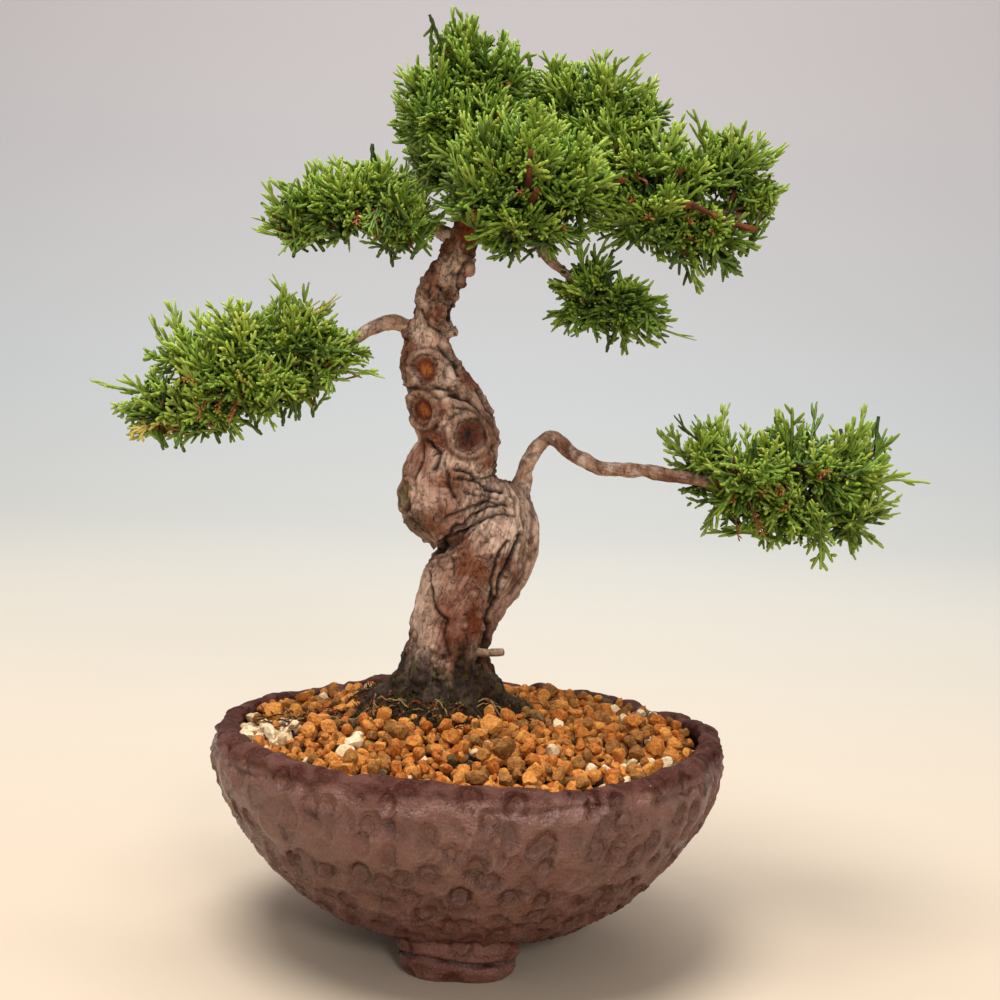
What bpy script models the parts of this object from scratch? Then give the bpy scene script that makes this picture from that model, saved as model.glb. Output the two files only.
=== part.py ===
"""Juniper bonsai in a hand-pinched round bowl with three folded clay feet.

Millimetres in the named values below, metres in the model. +Z is up and the tree's front faces -Y.
The pot's centre line is the design origin; at the end the whole model is moved so that the middle of
its bounding box, on the standing surface, is the world origin.
"""
import math

import bmesh
import bpy
import numpy as np
from mathutils import Vector

MM = 0.001
GAP = 0.3                 # clearance between any two pieces that touch

# Pot
BOWL_STEPS = 40           # facets round the bowl and round all that lies in it
WALL = 6.5                # clay thickness of the wall and floor
DRAIN_R = 8.0             # drain hole in the floor
FLOOR_R = 33.0            # flat part of the underside
FLOOR_Z = 9.0             # underside above the standing surface, which the feet set
BELLY_R = 85.5            # widest radius
RIM_Z = 71.0              # mean height of the rim
RIM_WAVE = 1.6            # rim rises and falls by this much
PLAN_WAVE = 1.3           # the hand-shaped plan is out of round by this much

# Feet, folded slabs of clay
# each foot: angle round the pot, its middle from the pot's centre line, half length along the rim, half depth
FEET = {
    "pot_foot_front": (-90.0, 36.0, 21.0, 14.0),
    "pot_foot_back_right": (40.0, 33.0, 16.0, 12.0),
    "pot_foot_back_left": (140.0, 33.0, 16.0, 12.0),
}
FOOT_TALL = 15.0          # slab before the bowl's hollow is taken out of its top

# Drain mesh and its wire clip
MESH_SIDE = 25.0
MESH_CELLS = 9
MESH_STRAND = 0.8
CLIP_WIRE_R = 0.5
CLIP_CELLS = 2            # its legs pass through the openings this many cells from the middle one

# Soil layers
GRIT_TOP = 25.0           # coarse drainage grit
SOIL_TOP = 60.0           # root ball soil
GRAVEL_EDGE = 67.5        # surface grains at the wall
GRAVEL_CROWN = 73.5       # surface grains at the middle

# Wood: middle line x, y, z and radius
TRUNK_SIDES = 5
TRUNK = [(-9, 15, 54, 12), (-10, 14, 66, 16), (-10, 14, 77, 17.5), (-10, 14, 88, 15.5), (-9, 13, 100, 14),
         (-6.5, 13, 110, 14.8), (-3.5, 12, 118, 15.5), (0, 11, 128, 16.3), (1, 10, 135, 18),
         (-2.5, 10, 141, 20.5), (-7.5, 10, 148, 20), (-10.5, 9, 155, 17), (-8.7, 9, 164, 14),
         (-9.8, 9, 172, 13.5), (-13.7, 8, 180, 12.6), (-17.8, 8, 189, 10), (-21, 7, 198, 8),
         (-19.5, 6, 210, 6), (-17, 6, 219, 6.2), (-11, 5, 231, 5), (-6, 3, 245, 4.2),
         (-4, 0, 262, 3.2), (-8, -2, 280, 2.2), (-10, -2, 292, 1.4)]
KNOBS = [((-24, 8, 147.5), (7.5, 8, 9)), ((-25.5, 6.5, 205), (6, 5.5, 6)),
         ((-24, 13, 76), (10, 8, 9)), ((4, 11, 76), (10, 9, 8)), ((-14, 0, 75), (9, 8, 9)),
         ((-8, 28, 75), (9, 9, 8)), ((11, 10, 140), (8, 8, 11))]

BRANCHES = {
    "branch_right": [(4, 9, 143, 4.2), (12.5, 9, 150, 3.6), (15.5, 8, 160, 2.8), (19, 7, 167, 2.6),
                     (23.5, 6, 169.7, 2.6), (31, 5, 164.5, 2.5), (40, 3, 160.5, 2.4), (53, 0, 160.3, 2.2),
                     (70, -3, 158.5, 2.0), (88, -4, 155.5, 1.6), (108, -4, 151, 1.1)],
    "branch_left": [(-22, 6.5, 203, 3), (-32, 5, 206, 2.5), (-38.5, 4, 203.8, 2.3), (-45, 3, 199.5, 2.2),
                    (-53.5, 2, 195, 2.1), (-66, 0, 191, 1.8), (-80, -1, 187.5, 1.4), (-97, -2, 183, 1.0)],
    "crown_branch_left": [(-10, 4.5, 233, 2.2), (-22, 4, 239, 1.9), (-38, 2, 240, 1.6), (-58, 0, 240, 1.0)],
    "crown_branch_right": [(-4, 2, 252, 2.2), (14, -1, 254, 2.0), (40, -4, 251, 1.7), (64, -6, 247, 1.3),
                           (80, -7, 245, 0.9)],
    "crown_branch_front": [(-5, 1, 257, 1.9), (0, -11, 257, 1.6), (8, -26, 255, 1.1)],
    "crown_branch_top_right": [(-5, -1, 268, 1.9), (12, 2, 273, 1.6), (34, 4, 280, 1.0)],
    "crown_branch_back": [(-5, 2, 249, 2.0), (2, 15, 254, 1.7), (10, 33, 258, 1.1)],
    "crown_branch_hanging": [(-8, 3.5, 241, 1.9), (9, 0, 237, 1.6), (21, -4, 227, 1.4), (38, -8, 214, 1.0)],
}
WOOD_STEP = 5.0           # spacing of the rings along a branch

# Foliage: middle, half sizes, tilt about Y in degrees
PADS = {
    "foliage_left": ((-87, -1, 187), (39, 30, 25), -14),
    "foliage_right": ((100, -4, 156), (41, 32, 25), 10),
    "foliage_crown_top": ((-9, -2, 287), (28, 27, 24), 0),
    "foliage_crown_left": ((-48, 1, 243), (33, 23, 18), -8),
    "foliage_crown_right": ((67, -6, 249), (31, 29, 27), 10),
    "foliage_crown_front": ((11, -25, 251), (32, 23, 28), 0),
    "foliage_crown_top_right": ((36, 4, 279), (22, 24, 20), 0),
    "foliage_crown_back": ((9, 30, 256), (36, 23, 28), 0),
    "foliage_crown_hanging": ((39, -8, 214), (22, 18, 18), 8),
}
# A pad is parted from those that it leans on, which come earlier in the list
LEANS = {
    "foliage_crown_left": ["foliage_crown_top"],
    "foliage_crown_front": ["foliage_crown_top", "foliage_crown_left", "foliage_crown_right"],
    "foliage_crown_top_right": ["foliage_crown_top", "foliage_crown_right", "foliage_crown_front"],
    "foliage_crown_back": ["foliage_crown_top", "foliage_crown_left", "foliage_crown_right",
                           "foliage_crown_front", "foliage_crown_top_right"],
    "foliage_crown_hanging": ["foliage_crown_right", "foliage_crown_front", "foliage_crown_back"],
}
MOSS_PLACE = (-12, 12, 73)
MOSS_SIZE = (31, 27, 7)

COLOURS = {"clay": (0.115, 0.062, 0.058, 0.55, 0), "mesh": (0.02, 0.02, 0.02, 0.6, 0),
           "wire": (0.6, 0.6, 0.62, 0.35, 1), "grit": (0.35, 0.3, 0.24, 0.95, 0),
           "soil": (0.08, 0.055, 0.035, 1, 0), "grain": (0.6, 0.32, 0.12, 0.95, 0),
           "moss": (0.06, 0.07, 0.02, 1, 0), "bark": (0.36, 0.25, 0.19, 0.85, 0),
           "leaf": (0.12, 0.3, 0.04, 0.6, 0)}

# ---------------------------------------------------------------------------------------------------

for old in list(bpy.data.objects):
    bpy.data.objects.remove(old, do_unlink=True)
scene = bpy.context.scene
parts = bpy.data.collections.new("juniper_bonsai")
cutters = bpy.data.collections.new("cutters")
scene.collection.children.link(parts)
scene.collection.children.link(cutters)
stand = bpy.data.objects.new("stand_point", None)
parts.objects.link(stand)

mats = {}
for key, (r, g, b, rough, metal) in COLOURS.items():
    mat = bpy.data.materials.new(key)
    mat.use_nodes = True
    node = mat.node_tree.nodes["Principled BSDF"]
    node.inputs["Base Color"].default_value = (r, g, b, 1)
    node.inputs["Roughness"].default_value = rough
    node.inputs["Metallic"].default_value = metal
    mats[key] = mat


def keep(ob, name, colour):
    """File an object as a piece of the model."""
    for c in list(ob.users_collection):
        c.objects.unlink(ob)
    ob.name = name
    ob.data.name = name
    ob.parent = stand
    ob.data.materials.clear()
    ob.data.materials.append(mats[colour])
    parts.objects.link(ob)
    for p in ob.data.polygons:
        p.use_smooth = True
    ob.data.set_sharp_from_angle(angle=math.radians(50))
    return ob


def tool(ob, name):
    """File an object as a cutter."""
    for c in list(ob.users_collection):
        c.objects.unlink(ob)
    ob.name = name
    ob.parent = stand
    ob.hide_render = True
    ob.display_type = "WIRE"
    cutters.objects.link(ob)
    return ob


def boolean(ob, other, how):
    mod = ob.modifiers.new(how.lower() + "_" + other.name, "BOOLEAN")
    mod.operation = how
    mod.solver = "EXACT"
    mod.object = other
    return ob


def baked(ob):
    """The same object with its modifiers worked into the mesh."""
    bpy.context.view_layer.update()
    deps = bpy.context.evaluated_depsgraph_get()
    mesh = bpy.data.meshes.new_from_object(ob.evaluated_get(deps))
    bm = bmesh.new()
    bm.from_mesh(mesh)
    bmesh.ops.remove_doubles(bm, verts=bm.verts, dist=0.000002)
    bmesh.ops.recalc_face_normals(bm, faces=bm.faces)
    bm.to_mesh(mesh)
    bm.free()
    new = bpy.data.objects.new(ob.name + "_mesh", mesh)
    scene.collection.objects.link(new)
    new.matrix_world = ob.matrix_world
    bpy.data.objects.remove(ob, do_unlink=True)
    return new


# ---- turned pieces ---------------------------------------------------------------------------------

OUTER = [(BELLY_R - 4.5, RIM_Z + 0.8), (BELLY_R - 1.5, RIM_Z - 1), (BELLY_R - 0.2, RIM_Z - 5),
         (BELLY_R, RIM_Z - 9), (BELLY_R - 1.5, RIM_Z - 16), (BELLY_R - 5, RIM_Z - 23.5),
         (BELLY_R - 10.5, RIM_Z - 32.5), (BELLY_R - 18, RIM_Z - 42), (BELLY_R - 27.5, RIM_Z - 51),
         (BELLY_R - 40, FLOOR_Z + 3), (FLOOR_R, FLOOR_Z)]


def moved_in(profile, d):
    """Profile moved by d towards the inside of the bowl, along its own normals."""
    p = np.array(profile[2:], float)
    t = np.gradient(p, axis=0)
    n = np.stack([t[:, 1], -t[:, 0]], 1)
    n /= np.linalg.norm(n, axis=1)[:, None]
    return p + n * d


def inside(d):
    """Side and floor corner of the surface that lies d inside the bowl's outer surface, top first."""
    return [tuple(q) for q in moved_in(OUTER, d)[:-1]] + [(FLOOR_R - 4, FLOOR_Z + d)]


def inner_radius(d, z):
    """Radius of that surface at height z."""
    q = np.array(inside(d)[::-1])
    return float(np.interp(z, q[:, 1], q[:, 0]))


def hand_shape(ob):
    """Bowl and contents share the out-of-round plan and the wavy rim."""
    for v in ob.data.vertices:
        x, y, z = v.co / MM
        a = math.atan2(y, x)
        r = math.hypot(x, y)
        if r < 1e-6:
            continue
        up = min(1.0, max(0.0, (z - FLOOR_Z) / (RIM_Z - FLOOR_Z)))
        out = PLAN_WAVE * up * (r / BELLY_R) * (0.6 * math.sin(2 * a + 0.7) + 0.4 * math.sin(5 * a))
        lip = min(1.0, max(0.0, (z - RIM_Z + 14) / 12)) * min(1.0, max(0.0, (r - 55) / 20))
        rise = RIM_WAVE * lip * (0.6 * math.sin(3 * a + 2.2) + 0.4 * math.sin(7 * a + 0.4) - 0.5 * math.sin(a))
        v.co = Vector((x * (r + out) / r, y * (r + out) / r, z + rise)) * MM


def turned(name, profile, shaped=True):
    """Closed turned piece; the profile runs top to bottom on its outer side."""
    mesh = bpy.data.meshes.new(name)
    ring = profile[0][0] > 0.01
    n = len(profile)
    edges = [(i, i + 1) for i in range(n - 1)] + ([(n - 1, 0)] if ring else [])
    mesh.from_pydata([(r * MM, 0, z * MM) for r, z in profile], edges, [])
    ob = bpy.data.objects.new(name, mesh)
    scene.collection.objects.link(ob)
    mod = ob.modifiers.new("turn", "SCREW")
    mod.steps = mod.render_steps = BOWL_STEPS
    mod.use_merge_vertices = True
    mod.merge_threshold = 0.00001
    ob = baked(ob)
    if shaped:
        hand_shape(ob)
    return ob


floor_top = FLOOR_Z + WALL
bowl = turned("pot_bowl", OUTER + [(DRAIN_R, FLOOR_Z), (DRAIN_R, floor_top)] + inside(WALL)[::-1]
              + [(BELLY_R - 6.6, RIM_Z - 0.4)])
keep(bowl, "pot_bowl", "clay")

grown = [(0, RIM_Z + 4), (BELLY_R - 3, RIM_Z + 4)]
bowl_cut = tool(turned("bowl_room", grown + [tuple(q) for q in moved_in(OUTER, -GAP)] + [(0, FLOOR_Z - GAP)]),
                "bowl_room")


def layer(name, low, high, crown, inset):
    """A filling of the bowl between two heights, with a domed top."""
    zs = [high - (high - low) * k / 6 for k in range(7)]
    side = [(inner_radius(WALL + inset, z), z) for z in zs]
    top = [(0, crown), (side[0][0] * 0.4, crown - 0.12 * (crown - high)),
           (side[0][0] * 0.72, crown - 0.5 * (crown - high))]
    return turned(name, top + side + [(0, low)])


grit = layer("drainage_grit", floor_top + GAP, GRIT_TOP, GRIT_TOP + 0.5, GAP)
soil = layer("root_soil", GRIT_TOP + GAP + 0.5, SOIL_TOP, SOIL_TOP + 3, GAP)
gravel = layer("surface_grains", SOIL_TOP + 3 + GAP, GRAVEL_EDGE, GRAVEL_CROWN, GAP)
keep(grit, "drainage_grit", "grit")
keep(soil, "root_soil", "soil")
keep(gravel, "surface_grains", "grain")

# ---- feet ------------------------------------------------------------------------------------------

half = FOOT_TALL / 2
foot_profile = [(0, FOOT_TALL), (0.93, FOOT_TALL), (0.99, FOOT_TALL - 2), (0.95, half), (1.0, half - 3),
                (0.97, 1.2), (0.9, 0), (0, 0)]
for name, (angle, out, half_long, half_deep) in FEET.items():
    foot = turned(name, [(r, z) for r, z in foot_profile], shaped=False)
    for v in foot.data.vertices:
        v.co.x *= half_deep
        v.co.y *= half_long
    a = math.radians(angle)
    foot.location = (out * math.cos(a) * MM, out * math.sin(a) * MM, 0)
    foot.rotation_euler = (0, 0, a)
    keep(foot, name, "clay")
    boolean(foot, bowl_cut, "DIFFERENCE")

# ---- drain mesh and clip ----------------------------------------------------------------------------

mesh_mid = floor_top + GAP + MESH_STRAND / 2
bpy.ops.mesh.primitive_grid_add(x_subdivisions=MESH_CELLS, y_subdivisions=MESH_CELLS, size=MESH_SIDE * MM,
                                location=(0, 0, mesh_mid * MM))
net = bpy.context.object
wires = net.modifiers.new("strands", "WIREFRAME")
wires.thickness = MESH_STRAND * MM
wires.use_boundary = True
wires.use_even_offset = False
keep(net, "drain_mesh", "mesh")

pocket_top = mesh_mid + MESH_STRAND / 2 + GAP + 2 * CLIP_WIRE_R + GAP
bpy.ops.mesh.primitive_cube_add(size=1, location=(0, 0, (floor_top + pocket_top) / 2 * MM))
pocket = bpy.context.object
pocket.scale = ((MESH_SIDE + MESH_STRAND + 2 * GAP) * MM,) * 2 + ((pocket_top - floor_top + 0.02) * MM,)
boolean(grit, tool(pocket, "mesh_room"), "DIFFERENCE")


def smooth_line(points, step):
    """Points read from a smooth curve through the given ones (Catmull-Rom), about a step apart."""
    p = np.array(points, float)
    p = np.vstack([2 * p[0] - p[1], p, 2 * p[-1] - p[-2]])
    out = []
    for i in range(1, len(p) - 2):
        n = max(1, round(float(np.linalg.norm(p[i + 1, :3] - p[i, :3])) / step))
        for k in range(n):
            t = k / n
            out.append(0.5 * (2 * p[i] + (p[i + 1] - p[i - 1]) * t
                              + (2 * p[i - 1] - 5 * p[i] + 4 * p[i + 1] - p[i + 2]) * t * t
                              + (3 * p[i] - p[i - 1] - 3 * p[i + 1] + p[i + 2]) * t ** 3))
    return np.array(out + [p[-2]])


def tube(name, points, resolution, grow=0.0):
    """Closed tube with a radius at each point, as a mesh."""
    curve = bpy.data.curves.new(name, "CURVE")
    curve.dimensions = "3D"
    curve.bevel_depth = MM
    curve.bevel_resolution = resolution
    curve.use_fill_caps = True
    spline = curve.splines.new("POLY")
    spline.points.add(len(points) - 1)
    ends = {k: Vector(points[k][:3]) + (Vector(points[k][:3]) - Vector(points[nxt][:3])).normalized() * grow
            for k, nxt in ((0, 1), (len(points) - 1, -2))}
    for k, (x, y, z, r) in enumerate(points):
        if k in ends:
            x, y, z = ends[k]
        spline.points[k].co = (x * MM, y * MM, z * MM, 1)
        spline.points[k].radius = r + grow
    ob = bpy.data.objects.new(name, curve)
    scene.collection.objects.link(ob)
    return baked(ob)


clip_half = round(CLIP_CELLS * MESH_SIDE / MESH_CELLS, 2)
clip_z = mesh_mid + MESH_STRAND / 2 + GAP + CLIP_WIRE_R
low_z = FLOOR_Z - GAP - CLIP_WIRE_R
reach = DRAIN_R + 6
clip = tube("mesh_clip", [(-reach, 0, low_z, CLIP_WIRE_R), (-clip_half - 0.7, 0, low_z, CLIP_WIRE_R),
                          (-clip_half, 0, low_z + 0.8, CLIP_WIRE_R), (-clip_half, 0, clip_z - 0.8, CLIP_WIRE_R),
                          (-clip_half + 0.8, 0, clip_z, CLIP_WIRE_R), (clip_half - 0.8, 0, clip_z, CLIP_WIRE_R),
                          (clip_half, 0, clip_z - 0.8, CLIP_WIRE_R), (clip_half, 0, low_z + 0.8, CLIP_WIRE_R),
                          (clip_half + 0.7, 0, low_z, CLIP_WIRE_R), (reach, 0, low_z, CLIP_WIRE_R)], 2)
keep(clip, "mesh_clip", "wire")

# ---- wood ------------------------------------------------------------------------------------------


def ball(name, place, size, detail=2, grow=0.0):
    bpy.ops.mesh.primitive_ico_sphere_add(subdivisions=detail, radius=1)
    ob = bpy.context.object
    ob.name = name
    for v in ob.data.vertices:
        v.co = Vector([(place[i] + v.co[i] * (size[i] + grow)) * MM for i in range(3)])
    return ob


def trunk_solid(name, grow=0.0):
    ob = tube(name, [tuple(q) for q in smooth_line(TRUNK, 6.5)], TRUNK_SIDES, grow)
    ob.name = name
    for k, (place, size) in enumerate(KNOBS):
        boolean(ob, tool(ball(f"{name}_knob_{k}", place, size, 2, grow), f"{name}_knob_{k}"), "UNION")
    return baked(ob)


trunk = keep(trunk_solid("trunk"), "trunk", "bark")
trunk_room = tool(trunk_solid("trunk_grown", GAP), "trunk_room")
branch_room = {}
for name, points in BRANCHES.items():
    line = [tuple(q) for q in smooth_line(points, WOOD_STEP)]
    keep(tube(name, line, 2), name, "bark")
    boolean(bpy.data.objects[name], trunk_room, "DIFFERENCE")
    branch_room[name] = tool(tube(name + "_grown", line, 2, GAP), name + "_room")

# ---- soil round the trunk ----------------------------------------------------------------------------

moss = keep(ball("moss_mound", MOSS_PLACE, MOSS_SIZE, 3), "moss_mound", "moss")
moss_room = tool(ball("moss_grown", MOSS_PLACE, MOSS_SIZE, 3, GAP), "moss_room")
boolean(moss, trunk_room, "DIFFERENCE")
for filling in (soil, gravel):
    boolean(filling, trunk_room, "DIFFERENCE")
boolean(gravel, moss_room, "DIFFERENCE")

# ---- foliage -----------------------------------------------------------------------------------------


def pad_solid(name, grow=0.0):
    """Lumpy rounded mass of foliage."""
    place, size, tilt = PADS[name]
    seed = list(PADS).index(name) * 1.7
    bpy.ops.mesh.primitive_ico_sphere_add(subdivisions=3 if "crown" not in name else 2, radius=1)
    ob = bpy.context.object
    t = math.radians(tilt)
    for v in ob.data.vertices:
        x, y, z = v.co
        lump = 1 + 0.05 * math.sin(4.1 * x + seed) * math.cos(3.3 * y - seed) + 0.04 * math.sin(5 * z + 2.4 * x + seed)
        x, y, z = (x * (size[0] * lump + grow), y * (size[1] * lump + grow), z * (size[2] * lump + grow))
        x, z = x * math.cos(t) + z * math.sin(t), -x * math.sin(t) + z * math.cos(t)
        v.co = Vector((place[0] + x, place[1] + y, place[2] + z)) * MM
    return ob


pad_room = {name: tool(pad_solid(name, GAP + 0.1), name + "_room") for name in PADS}
for name in PADS:
    pad = keep(pad_solid(name), name, "leaf")
    for other in LEANS.get(name, ()):
        boolean(pad, pad_room[other], "DIFFERENCE")
    if "crown" in name:
        boolean(pad, trunk_room, "DIFFERENCE")
        for branch in BRANCHES:
            if branch.startswith("crown"):
                boolean(pad, branch_room[branch], "DIFFERENCE")
    else:
        boolean(pad, branch_room[name.replace("foliage", "branch")], "DIFFERENCE")

# ---- stand the model on its reference point -------------------------------------------------------------

bpy.context.view_layer.update()
deps = bpy.context.evaluated_depsgraph_get()
points = []
for ob in parts.objects:
    if ob.type == "MESH":
        shape = ob.evaluated_get(deps).to_mesh()
        points += [ob.matrix_world @ v.co for v in shape.vertices]
low = [min(p[i] for p in points) for i in range(3)]
high = [max(p[i] for p in points) for i in range(3)]
stand.location = (-(low[0] + high[0]) / 2, -(low[1] + high[1]) / 2, -low[2])
bpy.context.view_layer.update()
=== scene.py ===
import math

import bpy
import numpy as np
from mathutils import Euler, Matrix, Vector


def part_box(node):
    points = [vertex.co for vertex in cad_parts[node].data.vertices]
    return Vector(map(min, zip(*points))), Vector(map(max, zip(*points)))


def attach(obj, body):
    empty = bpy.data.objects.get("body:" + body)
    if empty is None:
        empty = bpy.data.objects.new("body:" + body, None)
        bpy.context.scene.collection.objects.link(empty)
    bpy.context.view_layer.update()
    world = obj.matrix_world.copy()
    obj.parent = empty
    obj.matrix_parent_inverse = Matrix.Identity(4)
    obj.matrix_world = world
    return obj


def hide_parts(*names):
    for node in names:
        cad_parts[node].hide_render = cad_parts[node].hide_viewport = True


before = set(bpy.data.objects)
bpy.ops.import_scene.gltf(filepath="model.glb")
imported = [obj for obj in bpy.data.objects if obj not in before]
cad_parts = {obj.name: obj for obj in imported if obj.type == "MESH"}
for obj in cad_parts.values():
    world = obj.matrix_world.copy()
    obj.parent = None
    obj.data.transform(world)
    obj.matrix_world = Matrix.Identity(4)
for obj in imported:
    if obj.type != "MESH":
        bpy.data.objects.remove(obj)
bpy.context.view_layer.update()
bpy.ops.object.select_all(action="DESELECT")

# Everything below is laid out in millimetres with the pot's centre line as the origin.
MM = 0.001
clip_low, clip_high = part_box("mesh_clip")
CENTRE = np.array([(clip_low[0] + clip_high[0]) / 2, (clip_low[1] + clip_high[1]) / 2, 0.0])


# ------------------------------------------------------------------ camera
CAMERA_SPOT = (6.66, -484.9, 185.0)
LOOK_DOWN = 4.33
LEAN = 2.69
camera_data = bpy.data.cameras.new("camera")
camera_data.sensor_width = 36
camera_data.lens = 52.2
camera_data.clip_start = 0.01
camera = bpy.data.objects.new("camera", camera_data)
bpy.context.scene.collection.objects.link(camera)
turn = Euler((math.radians(90 - LOOK_DOWN), 0, 0)).to_matrix() @ Matrix.Rotation(math.radians(LEAN), 3, "Z")
camera.matrix_world = Matrix.Translation(Vector(np.array(CAMERA_SPOT) * MM + CENTRE)) @ turn.to_4x4()
bpy.context.scene.camera = camera


# ------------------------------------------------------------------ roughness of natural things
def lattice(i, j, k, seed):
    n = i * np.uint32(73856093) ^ j * np.uint32(19349663) ^ k * np.uint32(83492791) ^ np.uint32(seed * 7919 + 17)
    n = (n ^ (n >> np.uint32(15))) * np.uint32(2246822519)
    n = (n ^ (n >> np.uint32(13))) * np.uint32(3266489917)
    return (n ^ (n >> np.uint32(16))) / 4294967295.0


def lumps(points, size, seed=0):
    """Smooth lumps of about the given size in mm, from -1 to 1."""
    q = np.asarray(points, float) / size
    cell = np.floor(q)
    f = q - cell
    f = f * f * f * (f * (f * 6 - 15) + 10)
    c = cell.astype(np.int64).astype(np.uint32)
    total = 0
    for dx in (0, 1):
        for dy in (0, 1):
            for dz in (0, 1):
                share = (f[:, 0] if dx else 1 - f[:, 0]) * (f[:, 1] if dy else 1 - f[:, 1]) * (f[:, 2] if dz else 1 - f[:, 2])
                total = total + share * lattice(c[:, 0] + np.uint32(dx), c[:, 1] + np.uint32(dy), c[:, 2] + np.uint32(dz), seed)
    return total * 2 - 1


def rough(points, size, seed=0, layers=3):
    size = np.asarray(size, float)
    return sum(lumps(points, size / 2**n, seed + 31 * n) / 2**n for n in range(layers)) / 1.5


def ease(x, low, high):
    t = np.clip((x - low) / (high - low), 0, 1)
    return t * t * (3 - 2 * t)


def rgb(r, g, b):
    """A paint colour, given as it looks on a screen, as the light it reflects."""
    return np.array([(c / 255 / 12.92) if c <= 10 else ((c / 255 + 0.055) / 1.055) ** 2.4 for c in (r, g, b)])


def mix(a, b, share):
    share = np.asarray(share)[:, None]
    return a * (1 - share) + b * share


# ------------------------------------------------------------------ making pieces
def mesh_from(name, points, faces):
    """A mesh from points in mm and a list of equal-sided face tables."""
    me = bpy.data.meshes.new(name)
    points = np.asarray(points, float) * MM + CENTRE
    me.vertices.add(len(points))
    me.vertices.foreach_set("co", points.astype(np.float32).ravel())
    corners = np.concatenate([f.ravel() for f in faces]).astype(np.int32)
    sides = np.concatenate([np.full(len(f), f.shape[1]) for f in faces]).astype(np.int32)
    me.loops.add(len(corners))
    me.loops.foreach_set("vertex_index", corners)
    me.polygons.add(len(sides))
    me.polygons.foreach_set("loop_start", np.concatenate([[0], np.cumsum(sides)[:-1]]).astype(np.int32))
    me.polygons.foreach_set("loop_total", sides)
    me.polygons.foreach_set("use_smooth", np.ones(len(sides), bool))
    me.update(calc_edges=True)
    return me


def add_object(name, me):
    ob = bpy.data.objects.new(name, me)
    bpy.context.scene.collection.objects.link(ob)
    return ob


def paint(me, name, values):
    """Keeps a colour or a place with each point of the mesh."""
    values = np.asarray(values, float)
    kind = "FLOAT_COLOR" if name == "tint" else "FLOAT_VECTOR"
    if kind == "FLOAT_COLOR":
        values = np.concatenate([np.clip(values, 0, 1), np.ones((len(values), 1))], 1)
    layer = me.attributes.new(name, kind, "POINT")
    layer.data.foreach_set("color" if kind == "FLOAT_COLOR" else "vector", values.astype(np.float32).ravel())


def finish_piece(ob, finish, slot, *nodes):
    ob.data.materials.clear()
    ob.data.materials.append(finish)
    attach(ob, "root")
    if nodes:
        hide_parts(*nodes)
    return ob


def read_points(me):
    co = np.zeros(len(me.vertices) * 3, np.float32)
    me.vertices.foreach_get("co", co)
    return (co.reshape(-1, 3).astype(float) - CENTRE) / MM


def write_points(me, points):
    me.vertices.foreach_set("co", (points * MM + CENTRE).astype(np.float32).ravel())
    me.update()


def read_normals(me):
    out = np.zeros(len(me.vertices) * 3, np.float32)
    me.vertex_normals.foreach_get("vector", out)
    return out.reshape(-1, 3).astype(float)


def apply_all(ob):
    bpy.ops.object.select_all(action="DESELECT")
    bpy.context.view_layer.objects.active = ob
    ob.select_set(True)
    for m in list(ob.modifiers):
        bpy.ops.object.modifier_apply(modifier=m.name)
    ob.select_set(False)


def smooth_path(points, step):
    """A curve through rows of x, y, z, radius, with a row about every step mm."""
    p = np.asarray(points, float)
    p = np.vstack([2 * p[0] - p[1], p, 2 * p[-1] - p[-2]])
    out = []
    for i in range(1, len(p) - 2):
        a, b, c, d = p[i - 1:i + 3]
        n = max(1, int(round(np.linalg.norm(c[:3] - b[:3]) / step)))
        t = (np.arange(n) / n)[:, None]
        out.append(0.5 * (2 * b + (c - a) * t + (2 * a - 5 * b + 4 * c - d) * t**2 + (3 * b - a - 3 * c + d) * t**3))
    out.append(p[-2][None])
    out = np.vstack(out)
    out[:, 3] = np.maximum(out[:, 3], 0.15)
    return out


def unit(v):
    return v / np.maximum(np.linalg.norm(v, axis=-1, keepdims=True), 1e-9)


def carried_frames(path):
    """The direction of the path at each row and two directions across it that never twist."""
    t = unit(np.gradient(path[:, :3], axis=0))
    side = np.zeros_like(t)
    first = np.cross(t[0], (0.13, 0.99, 0.05))
    side[0] = unit(first)
    for i in range(1, len(t)):
        s = side[i - 1] - t[i] * np.dot(side[i - 1], t[i])
        side[i] = unit(s)
    return t, side, np.cross(t, side)


def round_skin(path, sides):
    """Points, quads and end fans of a closed round bar. Also the run and turn of each point."""
    t, u, v = carried_frames(path)
    a = np.arange(sides) / sides * 2 * math.pi
    ring = np.cos(a)[None, :, None] * u[:, None] + np.sin(a)[None, :, None] * v[:, None]
    points = (path[:, None, :3] + ring * path[:, None, 3:4]).reshape(-1, 3)
    n = len(path)
    i, j = np.meshgrid(np.arange(n - 1), np.arange(sides), indexing="ij")
    k = (j + 1) % sides
    quads = np.stack([i * sides + j, i * sides + k, (i + 1) * sides + k, (i + 1) * sides + j], -1).reshape(-1, 4)
    ends = np.array([path[0, :3] - t[0] * path[0, 3] * 0.5, path[-1, :3] + t[-1] * path[-1, 3] * 0.5])
    j = np.arange(sides)
    k = (j + 1) % sides
    m = n * sides
    fans = np.concatenate([np.stack([np.full(sides, m), k, j], 1), np.stack([np.full(sides, m + 1), (n - 1) * sides + j, (n - 1) * sides + k], 1)])
    run = np.concatenate([[0], np.cumsum(np.linalg.norm(np.diff(path[:, :3], axis=0), axis=1))])
    flow = np.stack([np.repeat(run, sides), np.tile(a, n) * np.repeat(path[:, 3], sides), np.repeat(path[:, 3], sides)], 1)
    flow = np.vstack([flow, [run[0], 0, path[0, 3]], [run[-1], 0, path[-1, 3]]])
    return np.vstack([points, ends]), quads, fans, flow


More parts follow.
